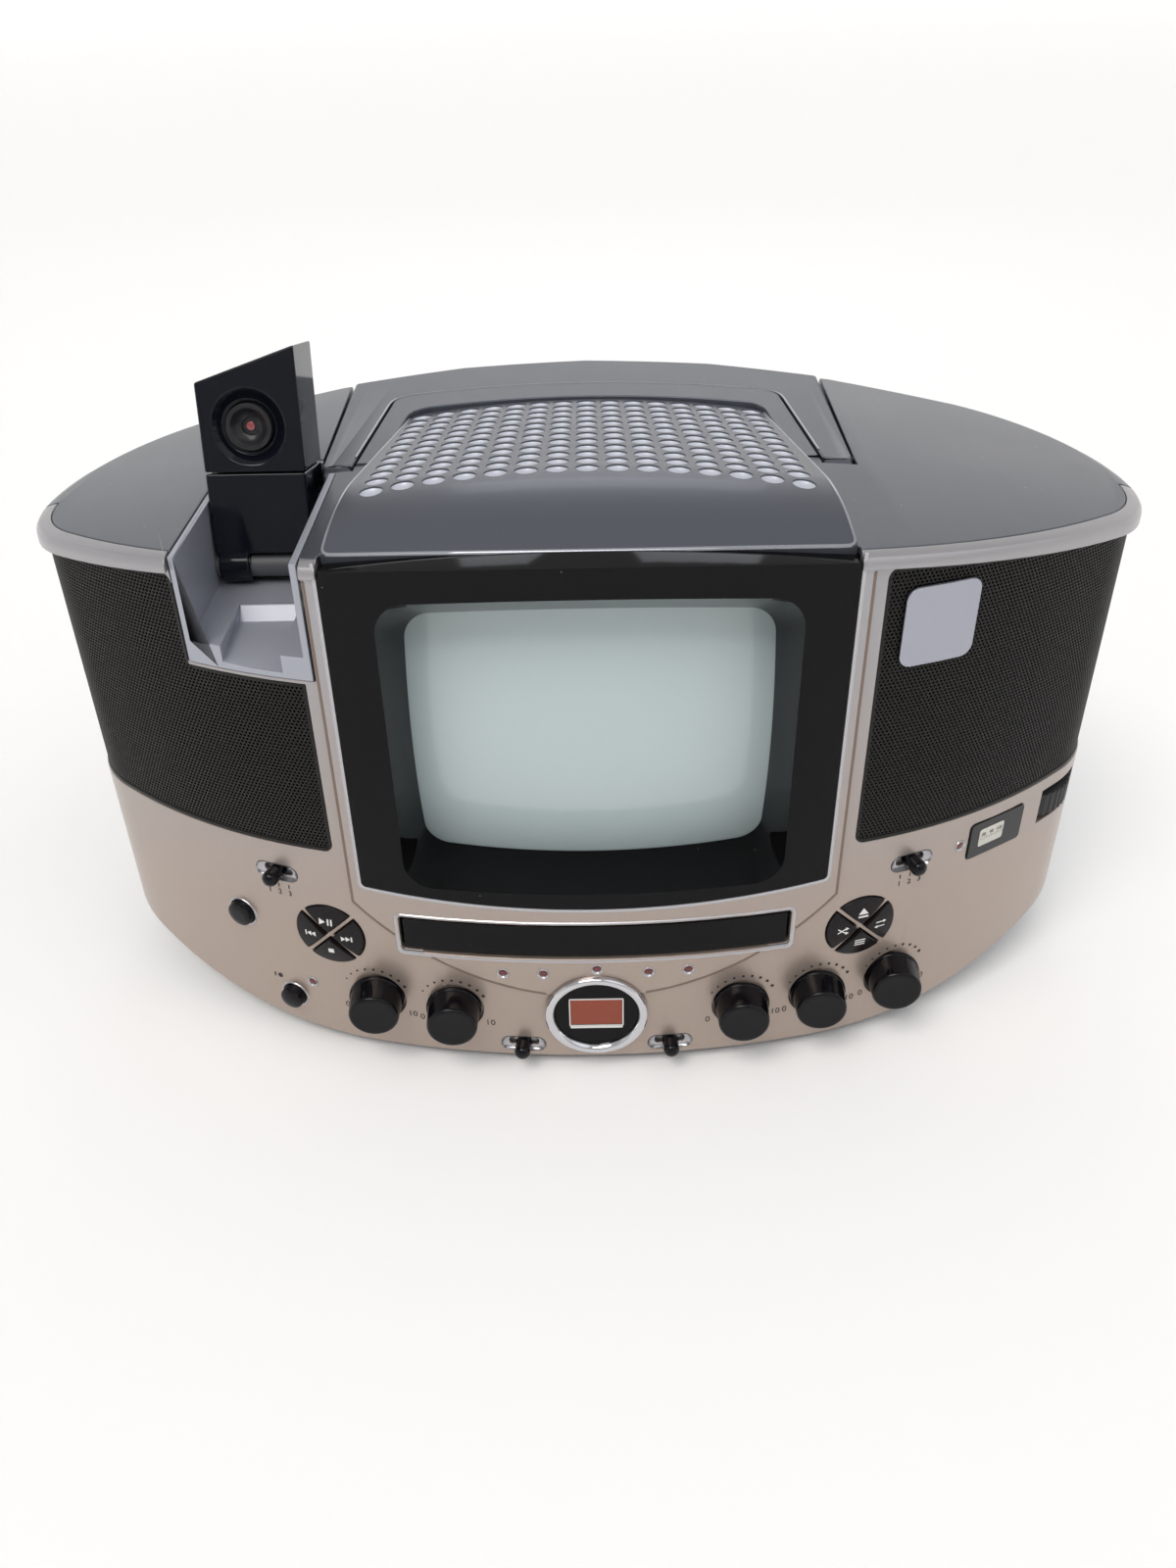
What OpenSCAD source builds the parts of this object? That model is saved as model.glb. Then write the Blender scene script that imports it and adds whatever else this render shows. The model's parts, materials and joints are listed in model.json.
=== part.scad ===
// A portable karaoke machine: an oval cabinet with a small picture tube, two speaker
// grilles, a front-loading disc tray and a camera that folds out of its top.
// Z is up and the front faces -Y. The origin is under the middle, where the feet stand.

/* [Cabinet] */
// Y of the middle of the front wall
front_y0 = -115; // [-117:0.5:-113]
// Radius of the front wall over the screen
front_r = 400; // [390:5:410]
// Half width of that shallow stretch
shoulder_x = 100; // [99:0.5:101]
// Radius of the shoulders over the speakers
shoulder_r = 220; // [215:1:225]
// Heading at which a shoulder turns into its corner, in degrees
corner_heading = 41; // [40:0.5:42]
// Radius of the front corners
corner_r = 47; // [45:1:49]
// Radius of the rear half of each side
side_r = 93.3; // [92.9:0.1:93.7]
// Heading at which a side turns into the back, in degrees
back_heading = 150.8; // [150.5:0.1:151.1]
// Thickness of the moulded walls
wall = 3; // [2.5:0.25:3.25]
// Y of the seam between the front and rear cabinets
seam_y = -20; // [-22:1:-18]
// Height of the feet, and so of the flat underside
foot_h = 6; // [5:0.5:7]
// Half width of the flat underside
under_flat = 85; // [80:1:88]
// Radius at which the underside curves up to the sides
under_r = 254; // [248:2:260]
// How far the middle panel stands out of the front wall
panel_out = 1.2; // [0.8:0.1:1.5]
// Half width of the middle panel
panel_half = 92.5; // [92:0.5:93]
// Radius of the middle panel's round lower edge
panel_r = 123; // [121:1:125]
// Height of the centre of that edge
panel_z = 162.5; // [161:0.5:164]

/* [Top] */
// Height of the crowned top at the middle
top_z = 223.8; // [223:0.2:225]
// Radius of the crown from side to side
top_r = 1411; // [1380:1:1440]
// Height of the rim's lower edge at the middle
rim_z = 219.6; // [219:0.2:220]
// Radius of the rim's lower edge
rim_r = 1205; // [1190:5:1220]
// How far the rim stands out past the walls
rim_out = 2.5; // [2:0.25:3]
// How far inside the walls the silver rim ends and the gunmetal cover begins
rim_in = 3.6; // [3.4:0.1:3.8]
// Thickness of the top cover and the domed panel
roof = 2.8; // [2.4:0.2:3]

/* [Rear hump] */
// Y of the flat rear face that carries the sockets
hump_y = 115; // [114.6:0.1:115]
// Half width of the hump
hump_half = 86; // [85:0.5:87]
// Lower and upper ends of the hump
hump_z = [12, 206]; // [11:0.5:207]
// Radius of its corners in elevation
hump_r = 14; // [13:0.5:15]

/* [Domed vent panel] */
// Height of the dome's crest
dome_z = 234.5; // [234:0.1:235]
// Radius of the dome's front, from front to back
dome_front_r = 85; // [84:1:86]
// Y of the centre of that radius
dome_front_y = -65.5; // [-66:0.5:-65]
// Radius of the dome from side to side
dome_side_r = 700; // [690:5:710]
// Slope of the dome's rear part in degrees
dome_slope = 6; // [5.8:0.1:6.2]
// Half width of the panel at its front corners
dome_half = 87; // [86.5:0.25:87.25]
// Y of the front corners
dome_corner_y = -100; // [-100.2:0.1:-99.8]
// Y of the middle of the front edge
dome_nose_y = -106; // [-106.2:0.1:-105.8]
// How much each side narrows per millimetre towards the back
dome_taper = 0.0969; // [0.09:0.001:0.1]
// Y of the middle of the rear edge
dome_back_y = 52.9; // [52.5:0.1:53.3]
// Radius of the rear edge
dome_back_r = 350; // [340:5:360]
// Radius of the rear corners
dome_corner_r = 12; // [10:1:14]
// Columns of vent holes
vent_columns = 15; // [13:1:15]
// Rows of vent holes
vent_rows = 12; // [10:1:12]
// Radius of a vent hole
vent_hole_r = 4.1; // [3.6:0.1:4.1]
// Y of the first row of vent holes at the middle
vent_y0 = -59; // [-60:0.5:-58]
// Distance from the first row to the last
vent_depth = 105; // [95:1:105]
// Distance between columns in the first row
vent_pitch = 10.5; // [10.3:0.1:10.6]

/* [Picture tube and bezel] */
// Half width of the bezel
bezel_half = 87.5; // [87:0.25:87.5]
// Height of the bezel's lower edge at the middle
bezel_z0 = 84.7; // [84:0.1:85]
// Radius of the bezel's lower edge
bezel_low_r = 722; // [700:2:740]
// Height of the bezel's upper front edge at the middle
bezel_z1 = 223; // [222.6:0.1:223.2]
// Half width of the funnel at the front
funnel_half = 71; // [70:0.5:72]
// Lower and upper ends of the funnel at the front
funnel_z = [91.5, 213]; // [91:0.5:213.5]
// Half width of the funnel at the tube
screen_half = 65; // [64:0.5:66]
// Lower and upper ends of the funnel at the tube
screen_z = [94.5, 194.5]; // [94:0.5:195]
// Radius of the tube's round face
tube_face_r = 260; // [250:5:270]
// Y of the middle of the tube's face
tube_face_y = -97; // [-98:0.5:-96]

/* [Grilles] */
// Distance from the middle plane to a grille's inner edge
grille_x = 97.5; // [97:0.5:98]
// Height of the grilles' lower edge
grille_z = 103; // [102:0.5:104]
// Y of the grilles' rear edge at the sides
grille_back_y = -25; // [-27:1:-24]
// Depth of the step that a grille lies in
grille_step = 1.8; // [1.5:0.1:2]

/* [Camera] */
// Inner left and right sides of the camera well
well_x = [-138.2, -96.7]; // [-139:0.1:-96]
// Height of the well's floor
well_floor = 186; // [185:0.5:187]
// Y of the well's rear wall
well_back_y = -10.5; // [-10.7:0.1:-10.3]
// Y and Z of the camera's hinge
camera_hinge = [-42.5, 193]; // [-43:0.5:194]
// Left and right sides of the camera
camera_x = [-137.4, -101.2]; // [-138:0.1:-101]
// Left and right ends of the camera's hinge knuckle
knuckle_x = [-136.4, -125]; // [-136.6:0.1:-124.8]
// Radius of the camera's hinge bar
hinge_bar_r = 4.5; // [4.3:0.1:4.6]
// X of the lens and its height, measured from the hinge
lens_at = [-119.9, 50]; // [-120.2:0.1:50.2]
// Radius of the lens barrel
lens_r = 8.3; // [8.2:0.1:8.4]
// How far the camera leans back, in degrees
camera_lean = 12; // [11:0.5:13]
// Camera's front and back faces, measured from the hinge
camera_depth = [-5.2, 24.5]; // [-6:0.1:25]
// Height of the split between neck and head, measured from the hinge
camera_split = 34; // [33:0.5:35]
// Heights of the head's left and right edges, measured from the hinge
camera_top = [65.3, 77.3]; // [64:0.1:78]

/* [Disc tray] */
// Half width of the tray's door
door_half = 74; // [73:0.5:74]
// Lower and upper edges of the door
door_z = [60.8, 75.3]; // [60:0.1:76]
// Clearance round the door
door_gap = 1.25; // [1:0.05:1.3]
// Half width of the tray
tray_half = 68; // [66:0.5:68]
// Lower and upper faces of the tray
tray_z = [61.8, 70.3]; // [61:0.1:71]
// Y of the tray's rear end when shut
tray_back_y = 38; // [36:1:40]
// Radius of the disc's recess
disc_recess_r = 60.8; // [60.5:0.1:61]
// Y of the spindle
spindle_y = -45; // [-46:0.5:-44]
// Half width of the slot that clears the turntable and pickup
tray_slot = 19.5; // [18:0.5:20]

/* [Controls] */
// X of each rotary knob
knob_x = [-88.5, -57, 58.2, 89.5, 121.1]; // [-90:0.1:122]
// Height of each rotary knob
knob_z = [31.8, 30.7, 30.4, 30.7, 31.7]; // [30:0.1:32]
// Radius of a knob's flange
knob_base_r = 11.1; // [10.5:0.1:11.5]
// Radius of a knob's face
knob_face_r = 9.9; // [9.5:0.1:10.2]
// How far a knob stands out of the wall
knob_len = 12.4; // [11:0.2:13]
// X of the key pads' centres, left and right of the middle
pad_x = 104.2; // [103:0.2:105]
// Height of the key pads' centres
pad_z = 61.7; // [61:0.1:62]
// Radius of a key pad
pad_r = 14.5; // [14:0.1:14.6]
// Half width of the silver cross between the keys
cross_half = 0.9; // [0.7:0.1:1]
// Centre of the round display
display_z = 30.7; // [30:0.1:31]
// Outer radius of the display's ring
ring_r = 20.4; // [20:0.1:20.5]
// Y of the display ring's front
ring_front_y = -119; // [-120:0.5:-118]
// X of each indicator lamp
lamp_x = [-36, -20.3, 0.5, 20.5, 36, -115.8, 143.1]; // [-144:0.1:144]
// Height of each indicator lamp
lamp_z = [51.7, 52, 54.5, 52.2, 52.2, 33, 88.7]; // [30:0.1:90]
// X and Z of the four slide switches
switches = [[-122.5, 88.5], [122.5, 88.5], [-29.8, 12.2], [29.8, 12.2]]; // [-124:0.1:124]
// X and Z of the contrast knob
contrast_at = [-141.7, 62.1]; // [-143:0.1:63]
// X and Z of the power button
power_at = [-124.9, 23.3]; // [-126:0.1:24]
// Centre of the tuning thumbwheel
wheel_at = [175.1, -38.2]; // [-39:0.1:176]
// Radius of the tuning thumbwheel
wheel_r = 24; // [23.5:0.1:24.2]
// Left and right edges of the tuning dial's window
dial_x = [147, 172]; // [146:0.5:173]
// Lower and upper edges of the tuning dial's window
dial_z = [80, 97]; // [79:0.5:98]

/* [Carrying handle] */
// Half width over the handle's arms at their front ends and 120 mm behind the middle
handle_outer = [99.7, 103.6]; // [99.5:0.1:103.8]
// Half width between the arms at their front ends
handle_inner = 88.8; // [88.7:0.1:88.9]
// How much each arm's inner side closes in per millimetre towards the back
handle_taper = 0.0797; // [0.078:0.001:0.081]
// Y of the middle of the crossbar's inner edge
crossbar_y = 71.5; // [71:0.1:72]
// Radius of the crossbar's inner edge
crossbar_r = 440; // [430:5:450]
// Radius of the corners between the arms and the crossbar
crossbar_corner_r = 10; // [9:0.5:11]
// Clearance beside the handle
handle_gap = 1.1; // [1:0.05:1.2]
// Y and Z of the handle's pivots
handle_pivot = [-17.1, 216.2]; // [-17.2:0.1:216.3]
// Thickness of the handle
handle_t = 9; // [8:0.5:9]

/* [Hidden] */

$fn = 64;
// Facets of the large shallow arcs
smooth = 720;
// Larger than the machine in each direction
far = 300;
// Clearance between pieces that are fixed to each other
seat = 0.2;

// Colours
gunmetal = "#65696c";
silver = "#b4aba6";
tray_silver = "#aaaab2";
gloss_black = "#15161c";
plain_black = "#242427";
steel = "#9a9da1";
board_green = "#2f6b45";

// Direction of a heading: 0 points to the front, 90 to the right
function toward(h) = [sin(h), -cos(h)];

// The plan is a ring of tangent arcs, each [centre, radius, first heading, last heading]
front_c = [0, front_y0 + front_r];
shoulder_heading = asin(shoulder_x / front_r);
shoulder_c = front_c + (front_r - shoulder_r) * toward(shoulder_heading);
corner_c = shoulder_c + (shoulder_r - corner_r) * toward(corner_heading);
side_c = corner_c + (corner_r - side_r) * toward(90);
back_r = side_r + side_c[0] / sin(back_heading);
back_c = side_c + (side_r - back_r) * toward(back_heading);
front_arc = [front_c, front_r, -shoulder_heading, shoulder_heading];
back_arc = [back_c, back_r, back_heading, 360 - back_heading];
function side_arcs(s) = [
    [[s * shoulder_c[0], shoulder_c[1]], shoulder_r, s * shoulder_heading, s * corner_heading],
    [[s * corner_c[0], corner_c[1]], corner_r, s * corner_heading, s * 90],
    [[s * side_c[0], side_c[1]], side_r, s * 90, s * back_heading]
];
right_arcs = side_arcs(1);
left_arcs = side_arcs(-1);

function on_arc(arc, h, inset) = arc[0] + (arc[1] - inset) * toward(h);

// Points along an arc in equal steps, without its last one
function arc_points(arc, inset, steps) =
    [for (i = [0:steps - 1]) on_arc(arc, arc[2] + (arc[3] - arc[2]) * i / steps, inset)];
function reversed(arc) = [arc[0], arc[1], arc[3], arc[2]];

// Points round the plan, each arc in steps that stay within 0.1 mm of it
arc_steps = [10, 9, 20];
function plan_ring(inset) = concat(
    arc_points(front_arc, inset, 14),
    [for (i = [0:2]) each arc_points(right_arcs[i], inset, arc_steps[i])],
    arc_points(back_arc, inset, 6),
    [for (i = [2:-1:0]) each arc_points(reversed(left_arcs[i]), inset, arc_steps[i])]
);

// Y of the front wall at x, and the heading that the wall faces there
function front_y(x, inset = 0) =
    abs(x) <= shoulder_x
    ? front_c[1] - sqrt((front_r - inset) ^ 2 - x ^ 2)
    : shoulder_c[1] - sqrt((shoulder_r - inset) ^ 2 - (abs(x) - shoulder_c[0]) ^ 2);
function front_heading(x) =
    abs(x) <= shoulder_x
    ? asin(x / front_r)
    : sign(x) * asin((abs(x) - shoulder_c[0]) / shoulder_r);

// Height of the rim's lower edge at x
function rim_at(x) = rim_z - rim_r + sqrt(rim_r ^ 2 - x ^ 2);

// The oval plan, moved in by inset
module plan(inset = 0) {
    polygon(plan_ring(inset));
}

// A rectangle with round corners, from its lower left to its upper right corner
module round_rect(low, high, r) {
    translate([low[0] + r, low[1]]) square([high[0] - low[0] - 2 * r, high[1] - low[1]]);
    translate([low[0], low[1] + r]) square([high[0] - low[0], high[1] - low[1] - 2 * r]);
    for (x = [low[0] + r, high[0] - r])
        for (y = [low[1] + r, high[1] - r])
            translate([x, y]) circle(r = r);
}

// A slot with round ends, centred
module stadium(length, width) {
    square([length - width, width], center = true);
    for (s = [-1, 1]) translate([s * (length - width) / 2, 0]) circle(d = width);
}

// Extrude an elevation, drawn in X and Z, along Y
module through_y(y0, y1) {
    translate([0, y1, 0]) rotate([90, 0, 0]) linear_extrude(y1 - y0) children();
}

// Extrude a side view, drawn in Y and Z, along X
module through_x(x0, x1) {
    translate([x0, 0, 0]) rotate([90, 0, 90]) linear_extrude(x1 - x0) children();
}

// Place children on the front wall: their Z points out of it and their X along it
module on_front(x, z) {
    translate([x, front_y(x), z]) rotate([0, 0, front_heading(x)]) rotate([90, 0, 0]) children();
}

// Place children on the front wall with their Z straight forward
module facing_front(x, z) {
    translate([x, front_y(x), z]) rotate([90, 0, 0]) children();
}

// Place children on the hump's rear face with their Z straight back
module facing_back(x, z) {
    translate([x, hump_y, z]) rotate([-90, 0, 0]) children();
}

// Everything under a crown, in elevation, in steps that stay within 0.02 mm of its arc
crown_half = 216;
crown_steps = 36;
module under_crown(mid_z, crown_r) {
    polygon([
        [crown_half, 0], [-crown_half, 0],
        for (i = [0:crown_steps])
            let (x = crown_half * (2 * i / crown_steps - 1))
                [x, mid_z - crown_r + sqrt(crown_r ^ 2 - x ^ 2)]
    ]);
}

// Everything over the underside, in elevation
module over_underside(inset = 0) {
    translate([-under_flat, foot_h + inset]) square([2 * under_flat, far]);
    for (s = [-1, 1])
        intersection() {
            translate([s * under_flat, foot_h + under_r]) circle(r = under_r - inset, $fn = smooth);
            translate([s > 0 ? under_flat - 1 : -under_flat - far + 1, 0]) square([far, far]);
        }
}

// A stretch of the cabinet's upright wall between two depths under the surface
module wall_band(outer, inner, y0, y1) {
    linear_extrude(far)
        intersection() {
            difference() {
                plan(outer);
                plan(inner);
            }
            translate([-far, y0]) square([2 * far, y1 - y0]);
        }
}

// The cabinet's wall from its underside to a lift over the rim's lower edge
module cabinet_wall(y0, y1, lift) {
    intersection() {
        wall_band(0, wall, y0, y1);
        through_y(-far, far)
            intersection() {
                over_underside();
                under_crown(rim_z + lift, rim_r);
            }
    }
}

// The crowned top between its rim and a drop under the crown, for one step of the rolled edge
module crown_slab(inset, drop) {
    intersection() {
        linear_extrude(far) plan(inset);
        through_y(-far, far)
            difference() {
                under_crown(top_z - drop, top_r);
                under_crown(rim_z, rim_r);
            }
    }
}

// The whole crowned top with its rolled edge and an arched underside
module crowned_top() {
    difference() {
        hull() {
            crown_slab(2, 0);
            crown_slab(-1, 0.7);
            crown_slab(-rim_out + 0.3, 2.2);
            crown_slab(-rim_out, 3.8);
        }
        through_y(-far, far) under_crown(rim_z, rim_r);
    }
}

// The silver rim that caps the front wall, round to the seam with the rear cabinet
module front_rim(inset, y1) {
    wall_band(-rim_out - 1, inset, -far, y1);
}

// The bezel's outline in elevation
module bezel_face(grow) {
    intersection() {
        translate([0, bezel_z0 + bezel_low_r]) circle(r = bezel_low_r + grow, $fn = smooth);
        translate([-bezel_half - grow, 0]) square([2 * (bezel_half + grow), far]);
    }
}

// The middle panel's outline in elevation
module panel_face() {
    intersection() {
        union() {
            translate([0, panel_z]) circle(r = panel_r, $fn = smooth);
            translate([-panel_half, panel_z]) square([2 * panel_half, far]);
        }
        translate([-panel_half, 0]) square([2 * panel_half, far]);
    }
}

// The raised middle panel round the bezel and the tray
module middle_panel() {
    intersection() {
        wall_band(-panel_out, 1, -far, front_y(panel_half) + 2 * wall);
        through_y(-far, 0)
            intersection() {
                panel_face();
                under_crown(rim_z + 1, rim_r);
            }
    }
}

// A grille's area in elevation: s is 1 on the right and -1 on the left, where it goes round the well
well_notch = [well_x[0] - 3.3, 175.5];
grille_corner_r = 4;
module grille_area(s, grow) {
    corner_x = s > 0 ? grille_x : -well_notch[0];
    corner_z = rim_at(corner_x + grille_corner_r) - 0.4 - grille_corner_r;
    scale([s, 1])
        difference() {
            intersection() {
                round_rect([grille_x - grow, grille_z - grow], [far, far], grille_corner_r);
                under_crown(rim_z - 0.4 + grow, rim_r);
            }
            if (s < 0)
                translate([0, well_notch[1] + grow]) square([corner_x - grow, far]);
            difference() {
                translate([corner_x - grow - 9, corner_z]) square([9 + grow + grille_corner_r, 20]);
                translate([corner_x + grille_corner_r, corner_z]) circle(r = grille_corner_r + grow);
            }
        }
}

// The step that a grille lies in, and the opening behind it
module grille_pocket(s) {
    intersection() {
        wall_band(-2 * wall, grille_step, -far, grille_back_y);
        through_y(-far, 0) grille_area(s, 0);
    }
    intersection() {
        wall_band(0, 2 * wall, -far, grille_back_y - 4);
        through_y(-far, 0) grille_area(s, -3.5);
    }
}

// A grille's curved screen
module grille(s) {
    intersection() {
        wall_band(0.6, grille_step - 0.05, -far, grille_back_y - seat);
        through_y(-far, 0) grille_area(s, -seat);
    }
}

// One quarter of a key pad, to the right of its centre
module pad_quarter(r, half) {
    apex = half * sqrt(2);
    intersection() {
        circle(r = r);
        polygon([[apex, 0], [2 * r, 2 * r - apex], [2 * r, apex - 2 * r]]);
    }
}

// Boss that carries a knob's bush on the inside of the sloping wall
knob_seat_r = knob_base_r + 0.7;
knob_boss_depth = 6;
module knob_boss(x, z) {
    intersection() {
        facing_front(x, z) translate([0, 0, -knob_boss_depth]) cylinder(r = knob_seat_r + 1.8, h = 12);
        linear_extrude(far) plan(0.2);
    }
}

module knob_hole(x, z) {
    facing_front(x, z) {
        translate([0, 0, -0.6]) cylinder(r = knob_seat_r, h = 12);
        translate([0, 0, -20]) cylinder(r = 3.6, h = 22);
    }
}

// Bowl and slot of a slide switch
module switch_hole(x, z) {
    on_front(x, z) {
        translate([0, 0, -1.8]) linear_extrude(6) stadium(18, 7.6);
        translate([0, 0, -8]) linear_extrude(10) stadium(12.6, 4.4);
    }
}

// Plates that hold the thumbwheel's shaft
module wheel_bracket() {
    for (z = [77.5, 97.6])
        translate([0, 0, z])
            linear_extrude(2.4)
                difference() {
                    union() {
                        translate(wheel_at) circle(r = 7);
                        intersection() {
                            plan(1);
                            translate(wheel_at) rotate(-38) translate([0, -6]) square([60, 12]);
                        }
                    }
                    translate(wheel_at) circle(r = 2.06);
                }
}

module front_cabinet() {
    color(silver)
        difference() {
            union() {
                cabinet_wall(-far, seam_y - seat / 2, 1);
                middle_panel();
                intersection() {
                    crowned_top();
                    front_rim(rim_in, seam_y - seat / 2);
                }
                for (i = [0:4]) knob_boss(knob_x[i], knob_z[i]);
                wheel_bracket();
            }
            through_y(-far, 0) bezel_face(seat);
            through_y(-far, -60)
                round_rect([-door_half - door_gap, door_z[0] - door_gap],
                           [door_half + door_gap, door_z[1] + door_gap], 1.5);
            for (s = [-1, 1]) grille_pocket(s);
            translate([well_notch[0], -far, 177]) cube([well_x[1] + 3.2 - well_notch[0], far, far]);
            for (i = [0:4]) knob_hole(knob_x[i], knob_z[i]);
            for (s = [-1, 1])
                on_front(s * pad_x, pad_z)
                    for (turn = [0:90:270])
                        rotate(turn) translate([0, 0, -10]) linear_extrude(20) pad_quarter(pad_r, cross_half);
            facing_front(0, display_z) translate([0, 0, -10]) cylinder(r = ring_r - 1.2, h = 20);
            for (i = [0:6]) on_front(lamp_x[i], lamp_z[i]) translate([0, 0, -10]) cylinder(r = 1.7, h = 20);
            for (at = switches) switch_hole(at[0], at[1]);
            on_front(contrast_at[0], contrast_at[1]) translate([0, 0, -10]) cylinder(r = 5.8, h = 20);
            on_front(power_at[0], power_at[1]) translate([0, 0, -10]) cylinder(r = 5.3, h = 20);
            on_front(dial_at[0], dial_at[1])
                translate([0, 0, -10]) linear_extrude(20)
                    round_rect([-14.6, -8.5], [14.6, 8.5], 2);
            translate([wheel_at[0], wheel_at[1], 81]) cylinder(r = wheel_r + 0.6, h = 16);
        }
}

// Outline of the rear wall's vents
module rear_vents() {
    for (row = [0:8])
        for (s = [-1, 1])
            translate([s * 42, 100 + 9 * row]) stadium(64, 3.4);
}

// Sockets' and screws' places on the rear face
inlet_at = [-60, 38];
jack_x = [-14, 4, 22];
mic_x = [48, 70];
socket_z = 38;
screw_at = [[-73, 20], [73, 20], [-72, 180], [72, 180], [0, 20], [0, 180]];

// The rear hump that makes room for the tube's neck, moved in by inset: its rear face is flat,
// with bevelled sides and a sloping top
hump_bevel = 7;
hump_slope = [17, 20];
module rear_hump(inset) {
    side = hump_half - inset;
    back = hump_y - inset;
    top = hump_z[1] - inset;
    bevel_y = back - hump_bevel + inset * (1 - tan(22.5));
    bevel_x = side - hump_bevel + inset * (1 - tan(22.5));
    intersection() {
        through_y(60, back) round_rect([-side, hump_z[0] + inset], [side, top], hump_r - inset);
        linear_extrude(far)
            polygon([
                [-side, 60], [side, 60], [side, bevel_y],
                [bevel_x, back], [-bevel_x, back], [-side, bevel_y]
            ]);
        through_x(-far, far)
            polygon([
                [60, 0], [back, 0], [back, hump_z[1] - hump_slope[1] - 0.37 * inset],
                [hump_y - hump_slope[0] - 0.46 * inset, top], [60, top]
            ]);
    }
}

module rear_cabinet() {
    color(plain_black)
        difference() {
            union() {
                difference() {
                    union() {
                        cabinet_wall(seam_y + seat / 2, far, -seat);
                        difference() {
                            rear_hump(0);
                            linear_extrude(far) plan(wall);
                        }
                    }
                    rear_hump(wall);
                }
                for (at = screw_at)
                    facing_back(at[0], at[1]) translate([0, 0, -14]) cylinder(r = 5, h = 13);
            }
            through_y(60, far) rear_vents();
            handle_well(0, 1);
            facing_back(inlet_at[0], inlet_at[1]) translate([0, 0, -10]) linear_extrude(20) stadium(25, 13);
            for (x = jack_x) facing_back(x, socket_z) translate([0, 0, -10]) cylinder(r = 4.4, h = 20);
            for (x = mic_x) facing_back(x, socket_z) translate([0, 0, -10]) cylinder(r = 4.9, h = 20);
            for (at = screw_at)
                facing_back(at[0], at[1]) {
                    translate([0, 0, -2]) cylinder(r = 3.6, h = 10);
                    translate([0, 0, -20]) cylinder(r = 1.6, h = 30);
                }
        }
}

// Height of the main board, the transformer's place, and the posts that carry them and the loader
board_z = 17;
chassis_z = 50;
transformer_at = [122, 30];
transformer_z = 20;
post_r = 3;
board_posts = [[-70, -50], [70, -50], [-70, 70], [70, 70]];
loader_posts = [[-60, -20], [60, -20], [-60, 45], [60, 45]];
transformer_posts = [for (x = [-17, 17], y = [-22, 22]) transformer_at + [x, y]];

module base_plate() {
    color(plain_black)
        difference() {
            union() {
                intersection() {
                    through_y(-far, far)
                        difference() {
                            over_underside(0);
                            over_underside(wall);
                        }
                    linear_extrude(60) plan(wall + seat);
                }
                intersection() {
                    through_y(-far, far) over_underside(1);
                    union() {
                        for (at = board_posts) translate(at) cylinder(r = post_r, h = board_z);
                        for (at = transformer_posts) translate(at) cylinder(r = post_r, h = transformer_z);
                        for (at = loader_posts) translate(at) cylinder(r = post_r, h = chassis_z);
                    }
                }
            }
            for (row = [-4:4])
                translate([0, 12 * row, 0]) linear_extrude(foot_h + 2 * wall) stadium(60, 4);
        }
}

module rubber_feet() {
    color(plain_black)
        for (x = [-70, 70], y = [-74, 74])
            translate([x, y, 0])
                rotate_extrude()
                    polygon([[3, 2], [3, 0], [8, 0], [9, 1], [9, foot_h], [0, foot_h], [0, 2]]);
}

// Right half of an outline that narrows to the back, from its side's end round a corner to its middle
function back_curve(half, side_y, taper, mid_y, arc_r, corner_r, grow) =
    let (
        lean = atan(taper),
        arc_c = [0, mid_y - arc_r],
        // The corner's centre lies one radius inside the side and inside the rear arc
        k = half - corner_r / cos(lean),
        m = side_y - arc_c[1],
        a = 1 + taper ^ 2,
        b = m - k * taper,
        c = k ^ 2 + m ^ 2 - (arc_r - corner_r) ^ 2,
        s = (sqrt(b ^ 2 - a * c) - b) / a,
        centre = [k - taper * s, side_y + s],
        turn = 180 - atan2(centre[0], centre[1] - arc_c[1])
    )
    [
        for (h = [90 + lean:(turn - 90 - lean) / 8:turn + 0.01]) centre + (corner_r + grow) * toward(h),
        for (i = [1:6]) arc_c + (arc_r + grow) * toward(turn + (180 - turn) * i / 6)
    ];

// Both halves of an outline whose right half is given
function both_halves(right) = concat(
    right,
    [for (i = [len(right) - 1:-1:0]) if (right[i][0] > 0.01) [-right[i][0], right[i][1]]]
);

// Outline of the domed panel, with a bowed front edge and round rear corners, moved out by grow
dome_nose_r = (dome_half ^ 2 / (dome_corner_y - dome_nose_y) + dome_corner_y - dome_nose_y) / 2;
module dome_outline(grow) {
    front_half = dome_half + grow / cos(atan(dome_taper));
    end = asin(front_half / (dome_nose_r + grow));
    front = [for (i = [0:8]) [0, dome_nose_y + dome_nose_r] + (dome_nose_r + grow) * toward(end * i / 8)];
    back = back_curve(dome_half, dome_corner_y, dome_taper, dome_back_y, dome_back_r, dome_corner_r, grow);
    polygon(both_halves(concat(front, back)));
}

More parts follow.
